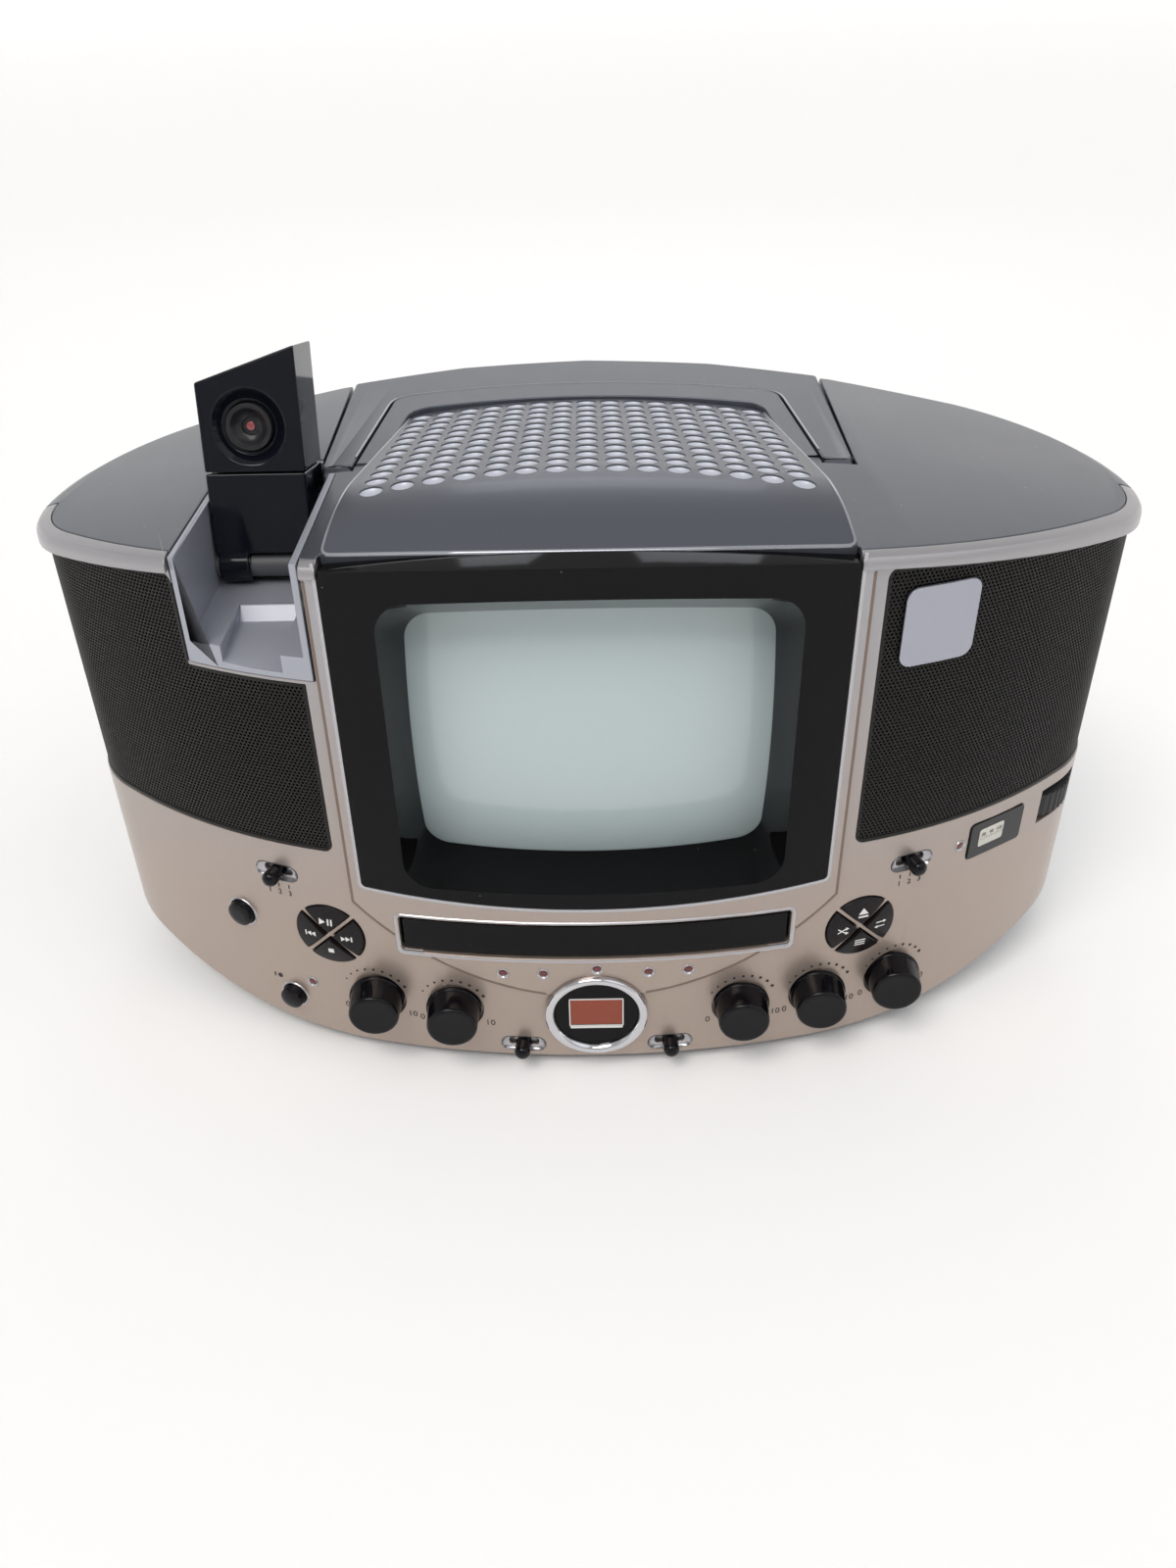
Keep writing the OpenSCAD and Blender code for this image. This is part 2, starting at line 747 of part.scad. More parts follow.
// Everything under the dome's skin, moved in by inset: a profile turned about an axis under it
dome_hinge_z = dome_z - dome_side_r;
module under_dome(inset) {
    straight_y = dome_front_y + dome_front_r * sin(dome_slope);
    straight_z = dome_z - dome_front_r * (1 - cos(dome_slope));
    lower = straight_z - dome_hinge_z - inset;
    arc_x = dome_z - dome_front_r - dome_hinge_z;
    translate([0, 0, dome_hinge_z])
        rotate([-90, 0, 0])
            rotate_extrude(angle = 16, start = -98, $fn = smooth)
                intersection() {
                    union() {
                        translate([arc_x, dome_front_y]) circle(r = dome_front_r - inset, $fn = 360);
                        polygon([
                            [dome_side_r - 30, straight_y], [lower, straight_y],
                            [lower - (dome_back_y + 10 - straight_y) * tan(dome_slope), dome_back_y + 10],
                            [dome_side_r - 30, dome_back_y + 10]
                        ]);
                    }
                    translate([dome_side_r - 22, -far]) square([60, 2 * far]);
                }
}

// Places of the vent holes: columns close up a little towards the back
module vent_holes(r, z0, z1) {
    for (row = [0:vent_rows - 1])
        for (column = [0:vent_columns - 1]) {
            x = (column - (vent_columns - 1) / 2) * (vent_pitch - 0.8 * row / (vent_rows - 1));
            y = vent_y0 + vent_depth * row / (vent_rows - 1) - x ^ 2 / 600;
            translate([x, y, z0]) cylinder(r = r, h = z1 - z0, $fn = 24);
        }
}

module vent_panel() {
    color(gunmetal)
        difference() {
            intersection() {
                translate([0, 0, 214]) linear_extrude(30) dome_outline(-seat);
                under_dome(0);
            }
            intersection() {
                translate([0, 0, 200]) linear_extrude(40) dome_outline(-seat - roof);
                under_dome(roof);
            }
            vent_holes(vent_hole_r, 205, 245);
        }
}

// Bright sheet that shows through the vent holes
baffle_drop = 3.2;
module vent_baffle() {
    color("#c8c8cc")
        difference() {
            intersection() {
                translate([-80, vent_y0 - 8, 200]) cube([160, 112, 40]);
                linear_extrude(far) dome_outline(-seat - roof - 1);
                under_dome(baffle_drop);
            }
            under_dome(baffle_drop + 1);
            translate([-90, -far, 200]) cube([180, 2 * far, 14.5]);
        }
}

// Outline of the handle in plan, with its clearance: straight arms and a bowed crossbar
module handle_outline(grow) {
    y0 = handle_pivot[0] - grow;
    inner = back_curve(handle_inner, y0, handle_taper, crossbar_y, crossbar_r, crossbar_corner_r, -grow);
    difference() {
        intersection() {
            polygon([
                [-handle_outer[0] - grow, y0], [handle_outer[0] + grow, y0],
                [handle_outer[1] + grow, 120], [-handle_outer[1] - grow, 120]
            ]);
            plan(-rim_out - (grow > 0 ? 10 : 0));
        }
        polygon(both_halves(concat([[handle_inner - grow, y0 - 1]], inner)));
    }
}

handle_x = (handle_outer[0] + handle_inner) / 2;

// Space for the handle in the top, with more depth under its rounded ends
module handle_well(grow, deeper) {
    end_size = [handle_outer[0] - handle_inner + 2 * (handle_gap + grow), 2 * (5.5 + grow)];
    intersection() {
        translate([0, 0, 180]) linear_extrude(80) {
            handle_outline(handle_gap + grow);
            for (s = [-1, 1])
                translate([s * handle_x, handle_pivot[0]]) square(end_size, center = true);
        }
        through_y(-far, far)
            difference() {
                translate([-far, 190]) square([2 * far, 60]);
                under_crown(top_z - handle_t - 0.6 - grow - deeper, top_r);
            }
    }
}

// Place children at both handle pivots with their Z pointing outwards along the axis
module at_pivots() {
    for (s = [0, 1])
        mirror([s, 0, 0]) translate([0, handle_pivot[0], handle_pivot[1]]) rotate([0, 90, 0]) children();
}

// Inner and outer ends of the pins that the handle turns on
pivot_pin_x = [82.5, 99.4];

module top_cover() {
    color(gunmetal)
        difference() {
            union() {
                difference() {
                    crowned_top();
                    intersection() {
                        linear_extrude(far) plan(wall);
                        through_y(-far, far) under_crown(top_z - roof, top_r);
                    }
                }
                intersection() {
                    handle_well(2, 0);
                    linear_extrude(far) plan(wall + 0.5);
                    through_y(-far, far) under_crown(top_z - 1, top_r);
                }
                at_pivots() translate([0, 0, pivot_pin_x[0] + 0.2]) cylinder(r = 4.4, h = 4);
            }
            front_rim(rim_in + seat, seam_y + seat / 2);
            handle_well(0, 0);
            linear_extrude(far) dome_outline(0.1);
            translate([-bezel_half - seat, -far, 0])
                cube([2 * (bezel_half + seat), far + dome_corner_y + 1, far]);
            translate([well_x[0] - 2.7, -far, 0])
                cube([well_x[1] - well_x[0] + 5.4, far + well_back_y + 2.7, far]);
            at_pivots() translate([0, 0, 80]) cylinder(r = 2.1, h = 22);
        }
}

// Finger pocket in the well's floor, in side view
module finger_pocket() {
    polygon([
        [-62, well_floor + 1], [-62, well_floor - 0.1], [-66, 181], [-90, 180.5],
        [-97, 179.3], [-130, 178.5], [-130, well_floor + 1]
    ]);
}

module camera_well() {
    x0 = well_x[0] - 2.5;
    x1 = well_x[1] + 2.5;
    width = well_x[1] - well_x[0];
    color(tray_silver)
        intersection() {
            difference() {
                translate([x0, -far, 177.2]) cube([x1 - x0, far + well_back_y + 2.5, 50]);
                translate([well_x[0], -far, well_floor]) cube([width, far + well_back_y, 50]);
                translate([well_x[0], -58, 170]) cube([width, 58 + well_back_y, well_floor - 2.5 - 170]);
                through_x(-127, -105) finger_pocket();
                handle_well(0, 0);
            }
            linear_extrude(far) plan(-0.3);
            through_y(-far, far) under_crown(top_z - 0.3, top_r);
        }
}

// Everything over the bezel: its cap slopes up to the domed panel and bows from side to side with it
module over_bezel() {
    cap = [
        [-130, bezel_z1 - 0.6], [front_y0 - panel_out, bezel_z1],
        [dome_nose_y, bezel_z1 + 1.2], [-80, bezel_z1 + 1.2]
    ];
    translate([0, 0, dome_hinge_z])
        rotate([-90, 0, 0])
            rotate_extrude(angle = 24, start = -102, $fn = smooth)
                polygon([
                    for (at = cap) [at[1] - dome_hinge_z, at[0]],
                    [far + 40 - dome_hinge_z, -80], [far + 40 - dome_hinge_z, -130]
                ]);
}

tube_z = (screen_z[0] + screen_z[1]) / 2;
module tv_bezel() {
    front_low = [-funnel_half - 4, funnel_z[0] - 1];
    front_high = [funnel_half + 4, funnel_z[1] + 7];
    back_low = [-screen_half + 1, screen_z[0] + 0.6];
    back_high = [screen_half - 1, screen_z[1] - 3];
    color(gloss_black)
        difference() {
            intersection() {
                linear_extrude(far) plan(-panel_out);
                through_y(-far, -84) bezel_face(0);
            }
            over_bezel();
            translate([0, 0, 213.7]) linear_extrude(far) dome_outline(0.1);
            hull() {
                through_y(-130, -129) round_rect(front_low, front_high, 12, $fn = 32);
                through_y(-84, -83) round_rect(back_low, back_high, 9, $fn = 32);
            }
            translate([0, tube_face_y + tube_face_r, tube_z]) sphere(r = tube_face_r + 0.4, $fn = 256);
            translate([-80, -82, 80]) cube([160, 10, 130]);
        }
}

module picture_tube() {
    color("#a5b2af") {
        intersection() {
            translate([0, tube_face_y + tube_face_r, tube_z]) sphere(r = tube_face_r, $fn = 256);
            through_y(-far, -66) round_rect([-71, tube_z - 56], [71, tube_z + 56], 12);
        }
        hull() {
            through_y(-66, -65.9) round_rect([-71, tube_z - 56], [71, tube_z + 56], 12, $fn = 32);
            translate([0, -10, tube_z]) rotate([-90, 0, 0]) cylinder(r = 15, h = 0.1, $fn = 32);
        }
        translate([0, -10, tube_z]) rotate([-90, 0, 0]) {
            cylinder(r = 11.5, h = 74);
            cylinder(r = 7, h = 84);
        }
    }
}

module deflection_yoke() {
    color("#8a4b2a")
        translate([0, 0, tube_z])
            rotate([-90, 0, 0])
                rotate_extrude()
                    polygon([[12, -9], [28, -9], [30, -4], [24, 14], [19, 22], [19, 34], [12, 34]]);
}

module grille_left() { color(plain_black) grille(-1); }
module grille_right() { color(plain_black) grille(1); }

// One speaker: basket, cone and magnet, facing out through its grille
speaker_z = 142;
speaker_heading = 31;
module speaker() {
    rotate_extrude()
        polygon([
            [0, -36], [17, -36], [17, -26], [12, -24], [20, -14], [33, -3], [36, -3], [36, 0], [31, 0],
            [13, -12], [9, -9], [0, -8]
        ]);
}

module speakers() {
    color("#2b2b2e")
        for (s = [-1, 1]) {
            at = shoulder_c + (shoulder_r - wall - 4) * toward(speaker_heading);
            translate([s * at[0], at[1], speaker_z])
                rotate([0, 0, s * speaker_heading]) rotate([90, 0, 0]) speaker();
        }
}

module badge_plate() {
    color("#c3c3c8")
        intersection() {
            wall_band(-0.7, 0.55, -far, -80);
            through_y(-far, 0) round_rect([104.8, 177], [132, 206.6], 4.5);
        }
}

module lcd_ring() {
    depth = -ring_front_y + front_y0;
    color("#c9c9ce")
        facing_front(0, display_z)
            rotate_extrude()
                polygon([
                    [16.6, -8], [ring_r - 1.4, -8], [ring_r - 1.4, panel_out + 0.1],
                    [ring_r, panel_out + 0.1], [ring_r, depth - 1.6], [ring_r - 0.6, depth - 0.4],
                    [ring_r - 1.7, depth], [18, depth - 0.4], [16.6, depth - 2]
                ]);
}

module lcd_module() {
    color(gloss_black)
        facing_front(0, display_z)
            difference() {
                translate([0, 0, -16]) cylinder(r = 16.4, h = 17.5);
                translate([0, 1, 1]) linear_extrude(4) square([22, 15], center = true);
            }
}

module lamp_lenses() {
    color("#7a1f1c")
        for (i = [0:6])
            on_front(lamp_x[i], lamp_z[i])
                translate([0, 0, -6]) cylinder(r = 1.55, h = 6.9);
}

dial_at = [(dial_x[0] + dial_x[1]) / 2, (dial_z[0] + dial_z[1]) / 2];
module dial_window() {
    color("#3a3c40")
        on_front(dial_at[0], dial_at[1])
            difference() {
                translate([0, 0, -9.5]) linear_extrude(9.7) round_rect([-14.4, -8.3], [14.4, 8.3], 1.8);
                translate([0, 0, -8.5]) linear_extrude(6.9) round_rect([-13, -7], [13, 7], 1);
                translate([-11, -10, -6.5]) cube([22, 6, 2.5]);
            }
}

// Side rail of the loader, with the groove that the tray's flange runs in
rail_x = [68.6, 75.6];
rail_width = rail_x[1] - rail_x[0];
chassis_y = [-100, 52];
chassis_length = chassis_y[1] - chassis_y[0];
module rail() {
    translate([rail_x[0], chassis_y[0], 52])
        difference() {
            cube([rail_width, chassis_length, 23]);
            translate([-1, -1, tray_z[0] - 52 - 0.5]) cube([4, far, 3.4]);
        }
}

pinion_at = [-50, -90];
module loader_chassis() {
    color(steel) {
        difference() {
            translate([-rail_x[1], chassis_y[0], 50]) cube([2 * rail_x[1], chassis_length, 2.5]);
            translate([-18, -27, 40]) cube([36, 66, 20]);
            translate([pinion_at[0], pinion_at[1], 40]) cylinder(r = 1.56, h = 20);
            translate([0, spindle_y, 40]) cylinder(r = 12, h = 20);
        }
        for (s = [0, 1]) mirror([s, 0, 0]) rail();
        difference() {
            union() {
                translate([-rail_x[1], spindle_y - 12, 79]) cube([2 * rail_x[1], 24, 2]);
                for (s = [0, 1])
                    mirror([s, 0, 0]) translate([rail_x[0], spindle_y - 12, 75]) cube([rail_width, 24, 5]);
            }
            translate([0, spindle_y, 70]) cylinder(r = 4, h = 20);
        }
        difference() {
            translate([0, spindle_y, 46]) cylinder(r = 12, h = 9);
            translate([0, spindle_y, 40]) cylinder(r = 1.26, h = 20);
        }
        translate([0, spindle_y, 0])
            rotate_extrude()
                polygon([
                    [0, 74], [14, 74], [14, 77], [3.5, 77.5], [3.5, 82], [6, 82], [6, 83.5], [0, 83.5]
                ]);
        for (s = [-1, 1])
            translate([s * 14, -27.5, 56.8]) rotate([-90, 0, 0]) cylinder(r = 1.5, h = 67);
        for (y = [-29.5, 39])
            translate([-18, y, 50]) cube([36, 2.5, 8.8]);
    }
}

module main_board() {
    color(board_green) {
        difference() {
            translate([-80, -60, board_z]) cube([160, 140, 1.6]);
            for (at = loader_posts) translate(at) cylinder(r = post_r + 0.4, h = 30);
        }
        for (at = [[-50, 20], [-30, 44], [40, 10], [66, 20]])
            translate([at[0], at[1], board_z]) cylinder(r = 6, h = 22);
        translate([-16, -30, board_z]) cube([28, 28, 4.5]);
        translate([20, 30, board_z]) cube([26, 30, 26]);
    }
}

control_y = -82;
module control_board() {
    color(board_green)
        translate([-132, control_y, 18]) cube([264, 1.6, 28]);
}

// A potentiometer behind each knob, seated on the control board, with its bush short of the wall
module potentiometers() {
    color(steel)
        for (i = [0:4]) {
            bush = min(9, control_y - front_y(knob_x[i]) - knob_boss_depth - 0.3);
            translate([knob_x[i], control_y, knob_z[i]])
                rotate([90, 0, 0])
                    difference() {
                        union() {
                            cylinder(r = 8.5, h = 6);
                            cylinder(r = 4.5, h = bush);
                        }
                        translate([0, 0, 1]) cylinder(r = 3.06, h = 20);
                    }
        }
}

module transformer() {
    color("#6b6b70")
        translate([transformer_at[0], transformer_at[1], transformer_z]) {
            difference() {
                translate([-20, -26, 0]) cube([40, 52, 34]);
                for (y = [-13, 13]) translate([-30, y - 5, 9]) cube([60, 10, 16]);
            }
            translate([-24, -17, 10]) cube([48, 34, 14]);
        }
}

module mains_inlet() {
    color(plain_black)
        facing_back(inlet_at[0], inlet_at[1]) {
            difference() {
                union() {
                    translate([0, 0, -18]) linear_extrude(18.4) stadium(24.6, 12.6);
                    translate([0, 0, 0.1]) linear_extrude(2.1) stadium(29, 17);
                }
                translate([0, 0, -12]) linear_extrude(20) stadium(17, 9);
            }
            for (s = [-1, 1]) translate([s * 4.3, 0, -12]) cylinder(r = 1.2, h = 10);
        }
}

// The jacks' barrels reach as far back as the knobs reach forward
jack_len = knob_len - front_y(knob_x[1]) - hump_y;
module av_jacks() {
    color("#b8b8bc")
        for (x = jack_x)
            facing_back(x, socket_z)
                difference() {
                    union() {
                        translate([0, 0, -16]) cylinder(r = 4.15, h = 16 + jack_len);
                        translate([0, 0, 0.1]) cylinder(r = 6.4, h = 1.1);
                        translate([0, 0, -16]) cylinder(r = 6.4, h = 16 - wall - seat);
                    }
                    translate([0, 0, jack_len - 11]) cylinder(r = 1.65, h = 12);
                }
}

mic_bore_r = 3.2;
module mic_jacks() {
    color("#b8b8bc")
        for (x = mic_x)
            facing_back(x, socket_z)
                difference() {
                    union() {
                        translate([0, 0, -30]) cylinder(r = 4.7, h = 32.5);
                        translate([0, 0, 0.1]) cylinder(r = 6.5, h = 2.4, $fn = 6);
                        translate([0, 0, -30]) cylinder(r = 8, h = 30 - wall - seat);
                    }
                    translate([0, 0, -26]) cylinder(r = mic_bore_r, h = 40);
                }
}

module hinge_pins() {
    color(steel) {
        translate([well_x[0] + 0.1, camera_hinge[0], camera_hinge[1]])
            rotate([0, 90, 0]) cylinder(r = hinge_bar_r, h = well_x[1] - well_x[0] - 0.2);
        at_pivots() translate([0, 0, pivot_pin_x[0]]) cylinder(r = 2, h = pivot_pin_x[1] - pivot_pin_x[0]);
    }
}

module cover_screws() {
    color(steel)
        for (at = screw_at)
            facing_back(at[0], at[1]) {
                difference() {
                    translate([0, 0, -1.9]) cylinder(r = 3.2, h = 1.7);
                    for (turn = [0, 90])
                        rotate(turn) translate([-2, -0.4, -1]) cube([4, 0.8, 3]);
                }
                translate([0, 0, -13]) cylinder(r = 1.5, h = 12);
            }
}

// Teeth of the tray's rack and its pinion, module 1
tooth_pitch = PI;
pinion_teeth = 16;
pitch_r = pinion_teeth / 2;
tooth_half = 0.62;

// A rack's tooth, pointing to +X from its pitch line, centred on y = 0
module rack_tooth() {
    slope = tan(20);
    polygon([[-1.6, -tooth_half - 1.6 * slope], [0.9, -tooth_half + 0.9 * slope],
             [0.9, tooth_half - 0.9 * slope], [-1.6, tooth_half + 1.6 * slope]]);
}

// A pinion's tooth as an involute, pointing to +X
base_r = pitch_r * cos(20);
function involute(t) = base_r * [cos(t) + t * PI / 180 * sin(t), sin(t) - t * PI / 180 * cos(t)];
roll_pitch = tan(20) * 180 / PI;
half_angle = tooth_half / pitch_r * 180 / PI;
function turned(p, a) = [p[0] * cos(a) - p[1] * sin(a), p[0] * sin(a) + p[1] * cos(a)];
flank = [for (t = [0:6:30]) turned(involute(t), -half_angle - roll_pitch + 20)];
module pinion_tooth() {
    polygon(concat(
        [[base_r - 2, flank[0][1]]],
        flank,
        [for (i = [len(flank) - 1:-1:0]) [flank[i][0], -flank[i][1]]],
        [[base_r - 2, -flank[0][1]]]
    ));
}

channel_x = pinion_at[0] - pitch_r - 1.25;
recess_z = 68.2;
module disc_tray() {
    color(plain_black)
        difference() {
            union() {
                translate([0, 0, tray_z[0]])
                    linear_extrude(tray_z[1] - tray_z[0])
                        intersection() {
                            plan(3);
                            translate([-tray_half, -far]) square([2 * tray_half, far + tray_back_y]);
                        }
                for (s = [0, 1])
                    mirror([s, 0, 0])
                        translate([tray_half - 1, -84, tray_z[0] + 0.1]) cube([3.4, 84 + tray_back_y, 2.3]);
            }
            translate([0, spindle_y, recess_z]) cylinder(r = disc_recess_r, h = 10, $fn = 180);
            translate([0, 0, 50])
                linear_extrude(40) {
                    translate([0, spindle_y]) circle(r = tray_slot);
                    translate([-tray_slot, spindle_y]) square([2 * tray_slot, far]);
                }
            translate([0, 0, 50])
                linear_extrude(16.2)
                    difference() {
                        translate([channel_x, pinion_at[1] - 10]) square([19.5, far]);
                        for (i = [-2:41])
                            translate([pinion_at[0] - pitch_r, pinion_at[1] + i * tooth_pitch]) rack_tooth();
                    }
        }
}

module tray_door() {
    color(gloss_black)
        intersection() {
            wall_band(-panel_out + 0.8, 2.95, -far, -80);
            through_y(-far, 0) round_rect([-door_half, door_z[0]], [door_half, door_z[1]], 1);
        }
}

module tray_pinion() {
    color("#e4e0d2")
        translate([pinion_at[0], pinion_at[1], 0]) {
            translate([0, 0, 62.2])
                linear_extrude(3.6) {
                    circle(r = base_r - 1);
                    for (i = [0:pinion_teeth - 1]) rotate((i + 0.5) * 360 / pinion_teeth) pinion_tooth();
                }
            translate([0, 0, 53]) cylinder(r = 5, h = 9.4);
            translate([0, 0, 50]) cylinder(r = 1.5, h = 5);
        }
}

module turntable() {
    color(plain_black)
        translate([0, spindle_y, 0])
            rotate_extrude()
                polygon([
                    [0, 50], [1.2, 50], [1.2, 63], [4, 64], [15, 65.6],
                    [15, 68.4], [7.4, 68.4], [7.4, 70.6], [6, 71.6], [0, 71.6]
                ]);
}

module optical_pickup() {
    color(steel)
        difference() {
            union() {
                translate([-17, -26, 53.6]) cube([34, 25, 7]);
                translate([0, -18, 60]) cylinder(r = 8, h = 3);
                translate([0, -18, 60]) cylinder(r = 3, h = 5.4);
            }
            for (s = [-1, 1])
                translate([s * 14, -40, 56.8]) rotate([-90, 0, 0]) cylinder(r = 1.57, h = 60);
        }
}

module carry_handle() {
    color(gunmetal)
        difference() {
            union() {
                intersection() {
                    linear_extrude(far) handle_outline(0);
                    through_y(-far, far)
                        difference() {
                            under_crown(top_z, top_r);
                            under_crown(top_z - handle_t, top_r);
                        }
                }
                at_pivots()
                    translate([0, 0, handle_inner]) cylinder(r = 4.4, h = handle_outer[0] - handle_inner);
            }
            at_pivots() translate([0, 0, 80]) cylinder(r = 2.06, h = 24);
        }
}

// The camera's own frame: its Z runs up along the lean and its Y to the back, from the hinge
module in_camera() {
    translate([0, camera_hinge[0], camera_hinge[1]]) rotate([-camera_lean, 0, 0]) children();
}

camera_mid = (camera_x[0] + camera_x[1]) / 2;
module camera_block(z0, z1) {
    translate([camera_x[0], camera_depth[0], z0])
        cube([camera_x[1] - camera_x[0], camera_depth[1] - camera_depth[0], z1 - z0]);
}

camera_axis = [camera_mid, (camera_depth[0] + camera_depth[1]) / 2];
knuckle_r = 6.3;
module camera_neck() {
    color(gloss_black)
        in_camera()
            difference() {
                union() {
                    camera_block(5, camera_split);
                    translate([knuckle_x[0], 0, 0])
                        rotate([0, 90, 0]) cylinder(r = knuckle_r, h = knuckle_x[1] - knuckle_x[0]);
                    translate([knuckle_x[0], camera_depth[0], 0])
                        cube([knuckle_x[1] - knuckle_x[0], knuckle_r - camera_depth[0], 6]);
                    translate([camera_axis[0], camera_axis[1], camera_split - 1]) cylinder(r = 5, h = 7);
                }
                translate([camera_mid - 20, 0, 0])
                    rotate([0, 90, 0]) cylinder(r = hinge_bar_r + 0.06, h = 40);
            }
}

// Place children at the lens with their Z pointing into the head from its front face
module at_lens() {
    translate([lens_at[0], camera_depth[0], lens_at[1]]) rotate([-90, 0, 0]) children();
}

module camera_head() {
    z0 = camera_split + 0.5;
    color(gloss_black)
        in_camera()
            difference() {
                translate([0, camera_depth[1], 0])
                    rotate([90, 0, 0])
                        linear_extrude(camera_depth[1] - camera_depth[0])
                            polygon([
                                [camera_x[0], z0], [camera_x[1], z0],
                                [camera_x[1], camera_top[1]], [camera_x[0], camera_top[0]]
                            ]);
                at_lens() translate([0, 0, -1]) cylinder(r1 = 14.4, r2 = 10, h = 4.2);
                at_lens() translate([0, 0, -1]) cylinder(r = lens_r + 0.06, h = 14);
                translate(camera_axis) cylinder(r = 5.06, h = camera_split + 6.5);
            }
}

module camera_lens() {
    color(plain_black)
        in_camera()
            at_lens()
                difference() {
                    translate([0, 0, 0.5]) cylinder(r = lens_r, h = 11.5);
                    cylinder(r = 5.6, h = 3);
                }
}

module knob(i) {
    shaft_end = front_y(knob_x[i]) - control_y + 1.5;
    color(gloss_black)
        facing_front(knob_x[i], knob_z[i])
            rotate_extrude()
                polygon([
                    [0, shaft_end], [3, shaft_end], [3, 0], [knob_base_r, 0], [knob_base_r, 1.8],
                    [knob_face_r + 0.6, 2.4], [knob_face_r, knob_len - 1.6],
                    [knob_face_r - 0.5, knob_len - 0.5], [knob_face_r - 1.6, knob_len], [0, knob_len]
                ]);
}
module master_volume_knob() { knob(0); }
module balance_knob() { knob(1); }
module voice_control_knob() { knob(2); }
module echo_knob() { knob(3); }
module mic_volume_knob() { knob(4); }

module contrast_knob() {
    color(gloss_black)
        on_front(contrast_at[0], contrast_at[1])
            rotate_extrude() polygon([[0, -9], [3, -9], [5.5, -6], [5.5, 2.4], [4.8, 3.1], [0, 3.1]]);
}

module power_button() {
    color(gloss_black)
        on_front(power_at[0], power_at[1])
            rotate_extrude() polygon([[0, -9], [2, -9], [2, -6], [5, -6], [5, 3.2], [4.3, 3.9], [0, 4.3]]);
}

// A quarter key: s is the pad's side and turn its place on the pad
module pad_key(s, turn) {
    color(plain_black)
        on_front(s * pad_x, pad_z)
            rotate(turn)
                intersection() {
                    translate([0, 0, -6]) linear_extrude(9) pad_quarter(pad_r - 0.3, cross_half + 0.3);
                    translate([0, 0, 1.8 - 70]) sphere(r = 70, $fn = 128);
                }
}
module play_key() { pad_key(-1, 90); }
module back_key() { pad_key(-1, 180); }
module forward_key() { pad_key(-1, 0); }
module stop_key() { pad_key(-1, 270); }
module open_key() { pad_key(1, 90); }
module repeat_key() { pad_key(1, 0); }
module random_key() { pad_key(1, 180); }
module program_key() { pad_key(1, 270); }

// A slide switch's lever, with the plate that covers its slot from inside
module switch_lever(i) {
    color(gloss_black)
        on_front(switches[i][0], switches[i][1]) {
            translate([0, 0, -4.6]) linear_extrude(1.2) square([12, 5.6], center = true);
            translate([0, 0, -4]) cylinder(r = 1.7, h = 6);
            translate([0, 0, -1.2]) cylinder(r = 3.2, h = 8.4);
        }
}
module monitor_switch() { switch_lever(0); }
module band_switch() { switch_lever(1); }
module function_switch() { switch_lever(2); }
module video_switch() { switch_lever(3); }

module tuning_wheel() {
    color(gloss_black)
        translate([wheel_at[0], wheel_at[1], 0]) {
            translate([0, 0, 84]) linear_extrude(10) difference() {
                circle(r = wheel_r, $fn = 180);
                for (turn = [0:8:352]) rotate(turn) translate([wheel_r + 0.4, 0]) circle(r = 1, $fn = 24);
            }
            translate([0, 0, 77.5]) cylinder(r = 2, h = 22.5);
        }
}

module dial_pointer() {
    color("#c23a2c")
        on_front(dial_at[0], dial_at[1])
            translate([-0.6, -8.2, -6]) cube([1.2, 14.4, 1.5]);
}

front_cabinet();
rear_cabinet();
base_plate();
rubber_feet();
top_cover();
vent_panel();
vent_baffle();
camera_well();
tv_bezel();
picture_tube();
deflection_yoke();
grille_left();
grille_right();
speakers();
badge_plate();
lcd_ring();
lcd_module();
lamp_lenses();
dial_window();
loader_chassis();
main_board();
control_board();
potentiometers();
transformer();
mains_inlet();
av_jacks();
mic_jacks();
hinge_pins();
cover_screws();
disc_tray();
tray_door();
tray_pinion();
turntable();
optical_pickup();
carry_handle();
camera_neck();
camera_head();
camera_lens();
master_volume_knob();
balance_knob();
voice_control_knob();
echo_knob();
mic_volume_knob();
contrast_knob();
power_button();
play_key();
back_key();
forward_key();
stop_key();
open_key();
repeat_key();
random_key();
program_key();
monitor_switch();
band_switch();
function_switch();
video_switch();
tuning_wheel();
dial_pointer();
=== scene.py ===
"""A portable karaoke machine: its finishes, printed marks and mesh grilles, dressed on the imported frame."""
import json
import math

import bmesh
import bpy
import numpy as np
from mathutils import Matrix, Vector


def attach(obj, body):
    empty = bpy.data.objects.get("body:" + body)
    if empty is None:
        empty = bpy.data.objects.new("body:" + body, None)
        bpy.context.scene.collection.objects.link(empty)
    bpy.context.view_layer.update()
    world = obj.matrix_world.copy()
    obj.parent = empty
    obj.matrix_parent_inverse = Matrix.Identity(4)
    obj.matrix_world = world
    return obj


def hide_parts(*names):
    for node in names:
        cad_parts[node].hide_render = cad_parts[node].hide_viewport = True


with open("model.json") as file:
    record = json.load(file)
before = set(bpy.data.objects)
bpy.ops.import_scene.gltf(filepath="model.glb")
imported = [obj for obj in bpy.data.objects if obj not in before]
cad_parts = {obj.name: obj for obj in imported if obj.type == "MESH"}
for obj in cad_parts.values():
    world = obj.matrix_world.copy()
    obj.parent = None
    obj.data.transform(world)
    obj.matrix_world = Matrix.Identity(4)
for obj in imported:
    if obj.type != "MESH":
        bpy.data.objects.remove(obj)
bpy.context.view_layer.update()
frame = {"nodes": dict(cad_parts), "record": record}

# Camera: a phone held above the front edge and tilted down, about half a metre off.
# Its place and tilt are fitted to the rim, the grilles, the screen and the row of knobs.
MM = 0.001
camera_at = np.array([0.35, -478.3, 390.5]) * MM
